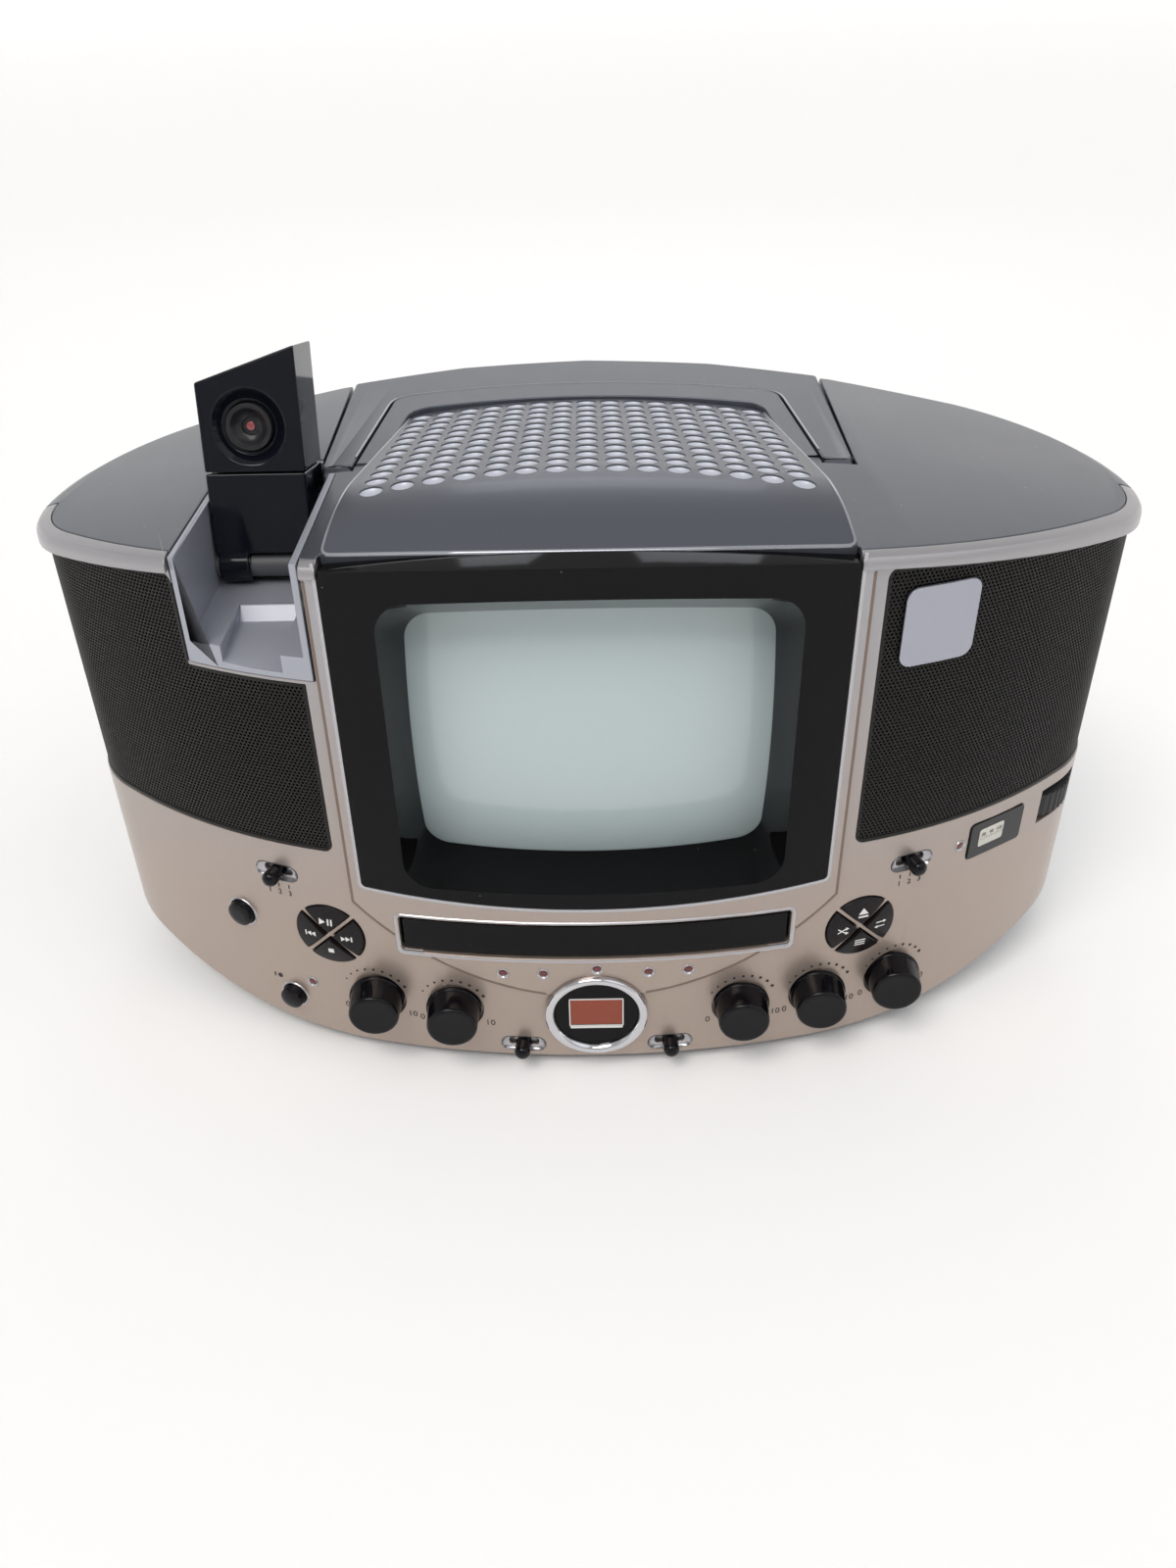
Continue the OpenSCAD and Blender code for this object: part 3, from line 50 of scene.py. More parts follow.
camera_pitch = math.radians(34.5046)
camera_yaw = math.radians(-0.301)
camera_roll = math.radians(1.1267)
lens_mm = 29.01
sensor_mm = 36.0

ahead = Vector((math.sin(camera_yaw) * math.cos(camera_pitch),
                math.cos(camera_yaw) * math.cos(camera_pitch), -math.sin(camera_pitch)))
level_right = Vector((math.cos(camera_yaw), -math.sin(camera_yaw), 0))
level_up = level_right.cross(ahead)
camera_right = level_right * math.cos(camera_roll) - level_up * math.sin(camera_roll)
camera_up = level_up * math.cos(camera_roll) + level_right * math.sin(camera_roll)
camera = bpy.data.objects.new("camera", bpy.data.cameras.new("camera"))
camera.data.lens = lens_mm
camera.data.sensor_width = sensor_mm
camera.data.clip_start = 0.01
camera.data.clip_end = 100
camera.matrix_world = Matrix.Translation(camera_at) @ Matrix(
    (camera_right, camera_up, -ahead)).transposed().to_4x4()
bpy.context.scene.collection.objects.link(camera)
bpy.context.scene.camera = camera
bpy.context.scene.view_settings.view_transform = "Standard"


# Floor and light: a seamless white paper sweep, flat and then curved up all round, under two large soft
# lamps and a surround that is palest overhead. A wide softbox behind and one in front give the gloss
# parts their streaks.
def linear(hex_colour):
    """sRGB hex to linear RGBA: each channel's share is divided by 12.92 when dark, and otherwise
    shifted by 0.055, divided by 1.055 and raised to 2.4."""
    share = np.array([int(hex_colour[i:i + 2], 16) for i in (1, 3, 5)]) / 255
    value = np.where(share <= 0.04045, share / 12.92, ((share + 0.055) / 1.055) ** 2.4)
    return (*value.tolist(), 1.0)


def add(tree, kind, settings=None, links=None):
    """Adds a node of that kind, sets its properties or inputs, and links its inputs to given sockets."""
    made = tree.nodes.new(kind)
    for key, value in (settings or {}).items():
        if isinstance(key, str) and hasattr(made, key):
            setattr(made, key, value)
        else:
            made.inputs[key].default_value = value
    for key, socket in (links or {}).items():
        tree.links.new(socket, made.inputs[key])
    return made


def new_material(name):
    """An empty node material and its tree."""
    material = bpy.data.materials.new(name)
    material.use_nodes = True
    material.node_tree.nodes.clear()
    return material, material.node_tree


def grid_faces(rows, columns, loop_rows, loop_columns):
    """Quads between neighbours of a grid of points, closed round either way."""
    row = np.arange(rows if loop_rows else rows - 1)[:, None]
    column = np.arange(columns if loop_columns else columns - 1)[None, :]
    next_row = (row + 1) % rows
    next_column = (column + 1) % columns
    quads = np.stack([row * columns + column, next_row * columns + column,
                      next_row * columns + next_column, row * columns + next_column], -1)
    return quads.reshape(-1, 4).tolist()


floor_colour = "#fbfbfb"
horizon_level, zenith_level = 0.3, 0.62
sweep_reach, sweep_curve, sweep_top = 9.0, 2.0, 5.0
sweep_sides = 96

white_sweep, tree = new_material("white_paper_sweep")
paper = add(tree, "ShaderNodeBsdfPrincipled",
            {"Base Color": linear(floor_colour), "Roughness": 0.9, "Specular IOR Level": 0.1})
add(tree, "ShaderNodeOutputMaterial", links={"Surface": paper.outputs[0]})

floor_mesh = bpy.data.meshes.new("floor")
bend = np.linspace(math.pi / 2, 0, 16)
wall_profile = np.concatenate([
    [[sweep_reach, sweep_top]],
    np.stack([sweep_reach - sweep_curve * (1 - np.sin(bend)), sweep_curve * (1 - np.cos(bend))], 1),
    [[1.0, 0.0], [0.001, 0.0]]])
spin = np.linspace(0, 2 * math.pi, sweep_sides, endpoint=False)[:, None]
sweep = np.stack([wall_profile[:, 0] * np.cos(spin), wall_profile[:, 0] * np.sin(spin),
                  wall_profile[:, 1] + 0 * spin], -1)
floor_mesh.from_pydata(sweep.reshape(-1, 3).tolist(), [],
                       grid_faces(sweep_sides, len(wall_profile), True, False))
floor_mesh.polygons.foreach_set("use_smooth", np.ones(len(floor_mesh.polygons), bool))
floor_mesh.materials.append(white_sweep)
floor = bpy.data.objects.new("floor", floor_mesh)
bpy.context.scene.collection.objects.link(floor)

world = bpy.data.worlds.new("studio")
world.use_nodes = True
world.node_tree.nodes.clear()
sky = world.node_tree
direction = add(sky, "ShaderNodeTexCoord").outputs["Generated"]
steepness = add(sky, "ShaderNodeSeparateXYZ", links={0: direction}).outputs["Z"]
level = add(sky, "ShaderNodeMapRange", {"To Min": horizon_level, "To Max": zenith_level},
            {"Value": steepness}).outputs[0]
surround = add(sky, "ShaderNodeBackground", {"Color": linear("#ffffff")}, {"Strength": level})
add(sky, "ShaderNodeOutputWorld", links={"Surface": surround.outputs[0]})
bpy.context.scene.world = world


def lamp(name, kind, power, towards, colour, at=(0, 0, 0), **shape):
    """A lamp that shines along a direction from a place."""
    light = bpy.data.lights.new(name, kind)
    light.energy = power
    light.color = linear(colour)[:3]
    for key, value in shape.items():
        setattr(light, key, value)
    placed = bpy.data.objects.new(name, light)
    placed.location = at
    placed.rotation_mode = "QUATERNION"
    placed.rotation_quaternion = Vector(towards).to_track_quat("-Z", "Y")
    bpy.context.scene.collection.objects.link(placed)


lamp("key_lamp", "SUN", 1.2, (0.35, 0.55, -1.0), "#fffaf4", angle=math.radians(28))
lamp("fill_lamp", "SUN", 0.5, (-0.7, 0.35, -0.6), "#f4f8ff", angle=math.radians(60))
lamp("rear_softbox", "AREA", 1.2, (0, -1.2, -0.75), "#f4f8ff", at=(0.05, 1.3, 1.05),
     shape="RECTANGLE", size=0.7, size_y=0.3)
lamp("front_softbox", "AREA", 2.6, (0, 0.62, -0.78), "#ffffff", at=(-0.02, -1.05, 1.25),
     shape="RECTANGLE", size=0.5, size_y=0.18)


# Feet and base plate: four turned rubber feet under a black moulded plate with cooling slots.
# The feet are matt and slightly dusty, and the plate has a fine spark-eroded grain.
def finish(name, colour, metallic, roughness, grain_mm, grain_depth, bump_mm,
           coat=0.0, specular=0.5, dust_mm=0.0, spread=0.12, upper=""):
    """A sprayed, moulded or plated surface. Noise of the grain's size scales the colour by up to the
    grain's depth and lifts the surface by the bump's height. Clouds about 45 mm across scale the
    roughness by up to the spread. Dust specks show where a surface passes within their radius of a
    cell's centre. An upper colour, a painted reflection, takes over in step with the height between two
    levels."""
    cloud_mm = 45
    dust_pitch_mm = 9
    lower_level_mm, upper_level_mm = 60, 200
    material, tree = new_material(name)
    place = add(tree, "ShaderNodeTexCoord").outputs["Object"]
    grain = add(tree, "ShaderNodeTexNoise", {"Scale": 1 / (grain_mm * MM), "Detail": 3.0},
                {"Vector": place})
    cloud = add(tree, "ShaderNodeTexNoise", {"Scale": 1 / (cloud_mm * MM), "Detail": 4.0},
                {"Vector": place})
    tone = add(tree, "ShaderNodeMapRange", {"To Min": 1 - grain_depth, "To Max": 1 + grain_depth},
               {"Value": grain.outputs["Fac"]})
    shade = add(tree, "ShaderNodeMix", {"data_type": "RGBA", "blend_type": "MULTIPLY", "Factor": 1.0,
                                        6: linear(colour)}, {7: tone.outputs[0]}).outputs[2]
    # The upper colour is a painted reflection that pales the surface towards the top.
    if upper:
        height = add(tree, "ShaderNodeSeparateXYZ", links={0: place}).outputs["Z"]
        share = add(tree, "ShaderNodeMapRange",
                    {"From Min": lower_level_mm * MM, "From Max": upper_level_mm * MM}, {"Value": height})
        shade = add(tree, "ShaderNodeMix", {"data_type": "RGBA", 7: linear(upper)},
                    {0: share.outputs[0], 6: shade}).outputs[2]
    if dust_mm:
        cells = add(tree, "ShaderNodeTexVoronoi", {"Scale": 1 / (dust_pitch_mm * MM)}, {"Vector": place})
        speck = add(tree, "ShaderNodeMath", {"operation": "LESS_THAN", 1: dust_mm / dust_pitch_mm},
                    {0: cells.outputs["Distance"]})
        shade = add(tree, "ShaderNodeMix", {"data_type": "RGBA", 7: linear("#c9c7c2")},
                    {0: speck.outputs[0], 6: shade}).outputs[2]
    rough = add(tree, "ShaderNodeMapRange",
                {"To Min": roughness * (1 - spread), "To Max": roughness * (1 + spread)},
                {"Value": cloud.outputs["Fac"]})
    bump = add(tree, "ShaderNodeBump", {"Strength": 1.0, "Distance": bump_mm * MM},
               {"Height": grain.outputs["Fac"]})
    shader = add(tree, "ShaderNodeBsdfPrincipled",
                 {"Metallic": metallic, "Specular IOR Level": specular, "Coat Weight": coat,
                  "Coat Roughness": 0.08},
                 {"Base Color": shade, "Roughness": rough.outputs[0], "Normal": bump.outputs[0]})
    add(tree, "ShaderNodeOutputMaterial", links={"Surface": shader.outputs[0]})
    return material


body_of = {node: body for body, nodes in frame["record"]["behaviour"]["bodies"].items() for node in nodes}


def paint(material, *nodes):
    """Gives CAD nodes that keep their own shape a material."""
    for node in nodes:
        frame["nodes"][node].data.materials.clear()
        frame["nodes"][node].data.materials.append(material)


merge_distance = 0.002 * MM


def settle(name, mesh, material, body, crease=34, rounding=0.0):
    """Finishes a mesh: smooth but for edges over the crease's angle, those rounded to a radius in
    millimetres, and set on its body."""
    mesh.polygons.foreach_set("use_smooth", np.ones(len(mesh.polygons), bool))
    mesh.set_sharp_from_angle(angle=math.radians(crease))
    mesh.materials.append(material)
    made = bpy.data.objects.new(name, mesh)
    bpy.context.scene.collection.objects.link(made)
    if rounding:
        bevel = made.modifiers.new("rounding", "BEVEL")
        bevel.width = rounding * MM
        bevel.segments = 2
        bevel.limit_method = "ANGLE"
        bevel.angle_limit = math.radians(crease)
        bevel.use_clamp_overlap = False
        bevel.harden_normals = True
    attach(made, body)
    return made


def dressed(node, material, rounding, crease=34):
    """A copy of a CAD node with merged corners, flat faces joined, and its sharp edges rounded."""
    source = frame["nodes"][node].data
    corners = np.empty(len(source.vertices) * 3)
    source.vertices.foreach_get("co", corners)
    corner_of = np.empty(len(source.loops), np.int32)
    source.loops.foreach_get("vertex_index", corner_of)
    mesh = bpy.data.meshes.new(node + "_dressed")
    mesh.from_pydata(corners.reshape(-1, 3).tolist(), [], corner_of.reshape(-1, 3).tolist())
    shape = bmesh.new()
    shape.from_mesh(mesh)
    bmesh.ops.remove_doubles(shape, verts=shape.verts, dist=merge_distance)
    bmesh.ops.dissolve_limit(shape, angle_limit=math.radians(0.15), verts=shape.verts, edges=shape.edges)
    shape.to_mesh(mesh)
    shape.free()
    made = settle(node + "_dressed", mesh, material, body_of[node], crease, rounding)
    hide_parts(node)
    return made


black_rubber = finish("black_rubber", "#1b1b1b", 0.0, 0.75, 0.6, 0.12, 0.03, dust_mm=0.2)
moulded_black = finish("spark_eroded_black_abs", "#222225", 0.0, 0.52, 0.5, 0.1, 0.03)
dressed("rubber_feet", black_rubber, 0.5)
paint(moulded_black, "base_plate")

# Rear cabinet: one black moulding with louvred vents, a hump for the tube's neck, recessed cross-head
# screws, a mains inlet and plated sockets. The screws are zinc-plated steel, which is pale and satin.
zinc_steel = finish("zinc_plated_steel", "#b9bcc0", 1.0, 0.35, 0.8, 0.08, 0.004)
nickel = finish("nickel_plate", "#c6c4bf", 1.0, 0.18, 0.8, 0.04, 0.002)
dressed("rear_cabinet", moulded_black, 0.6)
dressed("cover_screws", zinc_steel, 0.15)
dressed("mains_inlet", moulded_black, 0.3)
dressed("av_jacks", nickel, 0.25)
dressed("mic_jacks", nickel, 0.25)

# Inside: boards, loader, transformer, speakers, the tube's yoke and the hinge pins, seen only through gaps.
# Each keeps its solid's shape and takes the finish of its own material.
circuit_board = finish("green_circuit_board", "#2f6b45", 0.0, 0.4, 0.8, 0.12, 0.01)
enamelled_copper = finish("enamelled_copper_wire", "#8a4b2a", 0.8, 0.3, 0.5, 0.15, 0.05)
laminated_iron = finish("laminated_iron", "#6b6b70", 0.7, 0.5, 0.5, 0.15, 0.03)
paper_cone = finish("black_paper_cone", "#1d1c1b", 0.0, 0.8, 0.8, 0.15, 0.04)
acetal = finish("natural_acetal", "#e4e0d2", 0.0, 0.4, 0.8, 0.03, 0.003)
grey_acetal = finish("matt_grey_acetal", "#47484c", 0.0, 0.5, 0.8, 0.05, 0.004)
paint(circuit_board, "main_board", "control_board")
paint(enamelled_copper, "deflection_yoke")
paint(laminated_iron, "transformer")
paint(paper_cone, "speakers")
paint(acetal, "tray_pinion")
paint(zinc_steel, "loader_chassis", "potentiometers", "optical_pickup")
paint(moulded_black, "turntable")
paint(grey_acetal, "hinge_pins")

# Front cabinet: moulded ABS sprayed in a warm silver lacquer, whose metal flakes give a fine grain
# and a satin sheen. Its colour turns from warm low down to paler and cooler towards the rim, a painted
# reflection. It carries the grille frames, the raised middle panel and all the controls.
silver_lacquer = finish("silver_lacquer", "#a99a90", 0.6, 0.34, 0.4, 0.06, 0.003, coat=0.2, upper="#a3a1a4")
dressed("front_cabinet", silver_lacquer, 0.45)

front_r, shoulder_r, corner_r = 400.0, 220.0, 47.0
shoulder_x = 100.0
front_y0 = -115.0
panel_out = 1.2
rim_z, rim_r = 219.6, 1205.0
front_centre = np.array([0.0, front_y0 + front_r])
shoulder_turn = math.asin(shoulder_x / front_r)
corner_turn = math.radians(41)
shoulder_centre = front_centre + (front_r - shoulder_r) * np.array(
    [math.sin(shoulder_turn), -math.cos(shoulder_turn)])
corner_centre = shoulder_centre + (shoulder_r - corner_r) * np.array(
    [math.sin(corner_turn), -math.cos(corner_turn)])
shoulder_run = front_r * shoulder_turn
corner_run = shoulder_run + shoulder_r * (corner_turn - shoulder_turn)


def wall_point(run, lift):
    """X and Y on the front wall at an arc length from its middle, lifted off it. The heading is the
    length over the radius in each of three tangent arcs, and the point is the arc's centre plus its
    radius and the lift along the heading."""
    run, lift = np.broadcast_arrays(run, lift)
    far = np.abs(run)
    stretches = [far < shoulder_run, far < corner_run]
    heading = np.select(stretches, [far / front_r, shoulder_turn + (far - shoulder_run) / shoulder_r],
                        corner_turn + (far - corner_run) / corner_r)
    radius = np.select(stretches, [front_r, shoulder_r], corner_r) + lift
    x = np.select(stretches, [front_centre[0], shoulder_centre[0]], corner_centre[0])
    y = np.select(stretches, [front_centre[1], shoulder_centre[1]], corner_centre[1])
    return np.sign(run) * (x + radius * np.sin(heading)), y - radius * np.cos(heading)


def run_at(x):
    """The arc length along the front wall at an X that lies on its first two arcs."""
    far = abs(x)
    if far < shoulder_x:
        return math.copysign(front_r * math.asin(far / front_r), x)
    turn = math.asin((far - shoulder_centre[0]) / shoulder_r) - shoulder_turn
    return math.copysign(shoulder_run + shoulder_r * turn, x)


def rim_at(x):
    """Height of the rim's lower edge: a circle of the rim's radius through its middle height."""
    return rim_z - rim_r + np.sqrt(rim_r ** 2 - np.square(x))


def on_wall(run, height, lift):
    """Points in metres at an arc length, a height and a lift off the front wall."""
    x, y = wall_point(run, lift)
    return np.stack([x, y, np.broadcast_to(height, x.shape)], -1) * MM


def facing(x, z, heading=None):
    """A flat frame on the front wall at X and Z: across, up and outwards. It follows the wall's own
    heading, or the one given."""
    run = run_at(x)
    turn = heading if heading is not None else (
        run / front_r if abs(run) < shoulder_run
        else math.copysign(shoulder_turn + (abs(run) - shoulder_run) / shoulder_r, run))
    base_x, base_y = wall_point(run, 0.0)

    def place(across, up, out):
        across, up, out = np.broadcast_arrays(across, up, out)
        return np.stack([base_x + across * math.cos(turn) + out * math.sin(turn),
                         base_y + across * math.sin(turn) - out * math.cos(turn), z + up], -1) * MM
    return place


def solid(name, points, faces, material, body, crease=34, rounding=0.0):
    """A closed piece from points and faces, with its doubles merged and then its faces turned outwards."""
    mesh = bpy.data.meshes.new(name)
    mesh.from_pydata(np.reshape(points, (-1, 3)).tolist(), [], faces)
    shape = bmesh.new()
    shape.from_mesh(mesh)
    bmesh.ops.remove_doubles(shape, verts=shape.verts, dist=merge_distance)
    bmesh.ops.recalc_face_normals(shape, faces=shape.faces)
    shape.to_mesh(mesh)
    shape.free()
    return settle(name, mesh, material, body, crease, rounding)


def rounded(corners, steps=6):
    """A path through corners given as [x, y, radius]: each corner with a radius is cut that far back on
    both sides and bridged by a quadratic curve."""
    corners = np.array(corners, float)
    before, after = np.roll(corners, 1, 0), np.roll(corners, -1, 0)
    t = np.linspace(0, 1, steps)[:, None]
    path = []
    for here, last, following in zip(corners, before, after):
        point = here[:2]
        if here[2] == 0:
            path.append(point[None])
            continue
        start = point + (last[:2] - point) * here[2] / np.linalg.norm(last[:2] - point)
        end = point + (following[:2] - point) * here[2] / np.linalg.norm(following[:2] - point)
        path.append((1 - t) ** 2 * start + 2 * t * (1 - t) * point + t ** 2 * end)
    return np.concatenate(path)


def outward_of(path, closed=True):
    """Unit normals on the outer side of a path that runs anticlockwise: the way from each point's last
    neighbour to its next, a quarter turn clockwise."""
    ahead = np.roll(path, -1, 0) - np.roll(path, 1, 0) if closed else np.gradient(path, axis=0)
    ahead = ahead / np.linalg.norm(ahead, axis=1, keepdims=True)
    return np.stack([ahead[:, 1], -ahead[:, 0]], 1)


def swept(name, path, section, place, material, body, closed=True):
    """A closed section carried along a path that runs anticlockwise. The section's first value lies
    along the path's outward normal, and its second off the surface."""
    section = np.array(section, float)
    flat = path[:, None] + outward_of(path, closed)[:, None] * section[None, :, :1]
    points = place(flat[..., 0], flat[..., 1], np.broadcast_to(section[None, :, 1], flat.shape[:2]))
    faces = grid_faces(len(path), len(section), closed, True)
    if not closed:
        last = (len(path) - 1) * len(section)
        faces += [list(range(len(section))), list(range(last, last + len(section)))]
    return solid(name, points, faces, material, body)


def turned(name, profile, place, material, body, segments=96, ring=False):
    """A profile of [radius, height] turned about its axis: across is the radius times the cosine, and
    up is the radius times the sine. A ring's profile closes on itself."""
    profile = np.array(profile, float)
    angle = np.linspace(0, 2 * math.pi, segments, endpoint=False)[:, None]
    points = place(profile[None, :, 0] * np.cos(angle), profile[None, :, 0] * np.sin(angle),
                   np.broadcast_to(profile[None, :, 1], (segments, len(profile))))
    return solid(name, points, grid_faces(segments, len(profile), True, ring), material, body)


def plate(name, path, levels, place, material, body):
    """A plate whose outline steps inwards level by level, each [inset, height], and closes with a flat
    face above and below."""
    levels = np.array(levels, float)
    flat = path[None] - outward_of(path)[None] * levels[:, None, :1]
    points = place(flat[..., 0], flat[..., 1], np.broadcast_to(levels[:, 1, None], flat.shape[:2]))
    count = len(path)
    faces = grid_faces(len(levels), count, False, True)
    faces += [list(range(count)), list(range((len(levels) - 1) * count, len(levels) * count))]
    return solid(name, points, faces, material, body)


# The cabinet's openings for the screen and the tray have a chamfered lip, which catches the light along
# its lower side. Its lacquer is a paler, cooler copy of the cabinet's, a painted highlight.
lacquer_painted_highlight = finish("lacquer_painted_highlight", "#b4b3b7", 0.7, 0.26, 0.4, 0.03, 0.002, coat=0.3)
bezel_half, bezel_z0, bezel_low_r = 87.6, 84.6, 722.0
bezel_top = 222.0


def panel_wall(run, height, lift):
    """Points off the raised middle panel."""
    return on_wall(run, height, lift + panel_out)


bottom_x = np.linspace(-bezel_half, bezel_half, 40)[1:-1]
bottom = [[run_at(x), bezel_z0 + bezel_low_r - math.sqrt(bezel_low_r ** 2 - x ** 2), 0] for x in bottom_x]
corner_z = bezel_z0 + bezel_low_r - math.sqrt(bezel_low_r ** 2 - bezel_half ** 2)
side_z = np.linspace(bezel_top, corner_z + 4, 12)[:-1]
screen_path = rounded([[run_at(-bezel_half), z, 0] for z in side_z]
                      + [[run_at(-bezel_half), corner_z, 2.0]] + bottom
                      + [[run_at(bezel_half), corner_z, 2.0]]
                      + [[run_at(bezel_half), z, 0] for z in side_z[::-1]])
swept("screen_lip", screen_path, [[0.0, -0.6], [0.0, 0.05], [0.55, 0.3], [1.15, 0.3], [1.5, -0.3]],
      panel_wall, lacquer_painted_highlight, "cabinet", closed=False)

door_half, door_z = 75.25, [59.55, 76.55]
tray_x = np.linspace(-door_half, door_half, 30)
tray_path = rounded([[run_at(-door_half), door_z[1], 1.5], [run_at(-door_half), door_z[0], 1.5]]
                    + [[run_at(x), door_z[0], 0] for x in tray_x[1:-1]]
                    + [[run_at(door_half), door_z[0], 1.5], [run_at(door_half), door_z[1], 1.5]]
                    + [[run_at(x), door_z[1], 0] for x in tray_x[-2:0:-1]])
swept("tray_lip", tray_path, [[0.0, -1.0], [0.05, -0.35], [0.9, 0.25], [1.4, 0.3], [1.9, -0.3]],
      panel_wall, lacquer_painted_highlight, "cabinet")

# The raised middle panel ends in a darker brown line, a painted shadow of the step at its edge. Its sides
# are straight and its lower edge is an arc of 123 mm radius, which stops at the tray's opening and the ring.
groove_shadow_brown = finish("panel_step_painted_shadow", "#78665a", 0.2, 0.5, 0.6, 0.1, 0.004)
panel_half, panel_top, panel_r, panel_z = 92.5, 215.0, 123.0, 162.5
edge_low = panel_z - math.sqrt(panel_r ** 2 - panel_half ** 2)
tray_outer, tray_inner, ring_side = 77.5, 63.8, 19.6
straight_side = [[panel_half, z] for z in np.linspace(panel_top, edge_low + 2, 20)]
for side, name in ((-1, "left"), (1, "right")):
    for part, start, outer, inner in (("upper", straight_side, panel_half, tray_outer),
                                      ("lower", [], tray_inner, ring_side)):
        bow = [[x, panel_z - math.sqrt(panel_r ** 2 - x ** 2)] for x in np.linspace(outer, inner, 24)]
        path = np.array([[run_at(side * x), z] for x, z in start + bow])
        swept(f"{name}_{part}_panel_edge_shadow", path[::-side],
              [[-0.95, 1.1], [-0.95, 1.25], [0.06, 1.23], [0.06, 0.0], [-0.1, 0.0]],
              on_wall, groove_shadow_brown, "cabinet", closed=False)

# Speaker grilles: black lacquered steel, punched with staggered round holes and curved round the
# shoulders. The real pitch is about 1.2 mm, drawn at 1.6 mm so that it shows. A black sheet drawn as
# cloth backs them: painted shade for the dark inside seen through the holes.
mesh_black = finish("black_lacquered_steel", "#161413", 0.2, 0.36, 0.8, 0.15, 0.01, specular=0.3)
cloth_and_shade_black = finish("black_cloth_painted_shade", "#0b0a0a", 0.0, 0.9, 0.6, 0.3, 0.05, specular=0.1)
hole_pitch, hole_r, hole_sides = 1.6, 0.52, 6
grille_x, grille_z = 97.5, 103.0
grille_end = corner_run + corner_r * math.radians(42.6)
notch_x, notch_z = 141.5, 175.5
border = 1.0
cloth_inset, cloth_top_inset = 0.4, 0.5


def grille_top(run):
    """Height of a grille's upper edge: just under the rim, or under the camera well's notch on the left."""
    x = np.abs(wall_point(run, 0.0)[0])
    return np.where((np.asarray(run) < 0) & (x < notch_x), notch_z, rim_at(x) - 0.4)


for side, name in ((-1, "left"), (1, "right")):
    inner = run_at(grille_x)
    outline = np.sort(side * np.array([inner, grille_end]))
    rows = np.arange(grille_z + border, rim_z, hole_pitch * math.sqrt(3) / 2)
    columns = np.arange(outline[0] + border, outline[1] - border, hole_pitch)
    run, height = np.meshgrid(columns, rows)
    run[1::2] += hole_pitch / 2
    inside = (run < outline[1] - border) & (height < grille_top(run) - border)
    if side < 0:
        inside &= ~((run > -run_at(notch_x) - border) & (height > notch_z - border))
    run, height = run[inside][:, None], height[inside][:, None]
    corner = np.radians(np.arange(30, 390, 60))[None]
    rings = [(hole_pitch / math.sqrt(3), -0.72), (hole_r, -0.9), (hole_r, -1.5)]
    hole_points = len(rings) * hole_sides
    points = np.stack([on_wall(run + r * np.cos(corner), height + r * np.sin(corner), lift)
                       for r, lift in rings], 1)
    first = np.arange(len(run))[:, None, None] * hole_points
    outer = first + np.arange(len(rings) - 1)[None, :, None] * hole_sides
    here = np.arange(hole_sides)[None, None]
    following = (here + 1) % hole_sides
    quads = np.stack([outer + here, outer + following, outer + hole_sides + following,
                      outer + hole_sides + here], -1).reshape(-1, 4)
    merged, index = np.unique(np.round(points.reshape(-1, 3), 7), axis=0, return_inverse=True)
    sheet = bpy.data.meshes.new(name + "_grille_mesh")
    sheet.from_pydata(merged.tolist(), [], index.reshape(-1)[quads].tolist())
    settle(name + "_grille_mesh", sheet, mesh_black, "cabinet", crease=60)
    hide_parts("grille_" + name)

    edge_run = np.linspace(outline[0], outline[1], 60)
    if side < 0:
        edge_run = np.sort(np.append(edge_run, -run_at(notch_x) + np.array([-0.05, 0.05])))
    top = [[r, float(grille_top(r)), 0] for r in edge_run[::-1][2:-2]]
    near, far_end = (outline[1], outline[0]) if side < 0 else (outline[0], outline[1])
    corners = [[near, grille_z, 3.0], [near, float(grille_top(near)), 3.0 if side > 0 else 0.8]]
    ends = [[far_end, float(grille_top(far_end)), 0], [far_end, grille_z, 0]]
    bottom_edge = [[r, grille_z, 0] for r in edge_run[2:-2]]
    if side < 0:
        loop = [ends[1]] + bottom_edge + [corners[0], corners[1]] + top + [ends[0]]
    else:
        loop = [corners[0]] + bottom_edge + [ends[1], ends[0]] + top + [corners[1]]
    swept(name + "_grille_border", rounded(loop),
          [[-0.1, -1.2], [-0.1, -0.5], [-0.5, -0.35], [-1.5, -0.5], [-1.6, -1.2]],
          on_wall, mesh_black, "cabinet")

    # The black sheet behind the holes is drawn as cloth and is painted shade for the dark inside.
    cloth_run = np.linspace(outline[0] + cloth_inset, outline[1] - cloth_inset, 70)
    share = np.linspace(0, 1, 12)[None]
    low = grille_z + cloth_inset
    high = np.minimum(grille_top(cloth_run), grille_top(cloth_run + 0.6))[:, None]
    cloth_height = low + share * (high - cloth_top_inset - low)
    cloth_points = on_wall(cloth_run[:, None] + 0 * share, cloth_height, -1.7)
    cloth = bpy.data.meshes.new(name + "_grille_cloth_shade")
    cloth.from_pydata(cloth_points.reshape(-1, 3).tolist(), [],
                      grid_faces(len(cloth_run), share.size, False, False))
    settle(name + "_grille_cloth_shade", cloth, cloth_and_shade_black, "cabinet")

# Badge: a bare brushed plate stuck on the right grille, with rounded corners.
brushed_aluminium = finish("brushed_aluminium", "#a6a8b2", 0.7, 0.36, 0.6, 0.03, 0.002)
dressed("badge_plate", brushed_aluminium, 0.3)

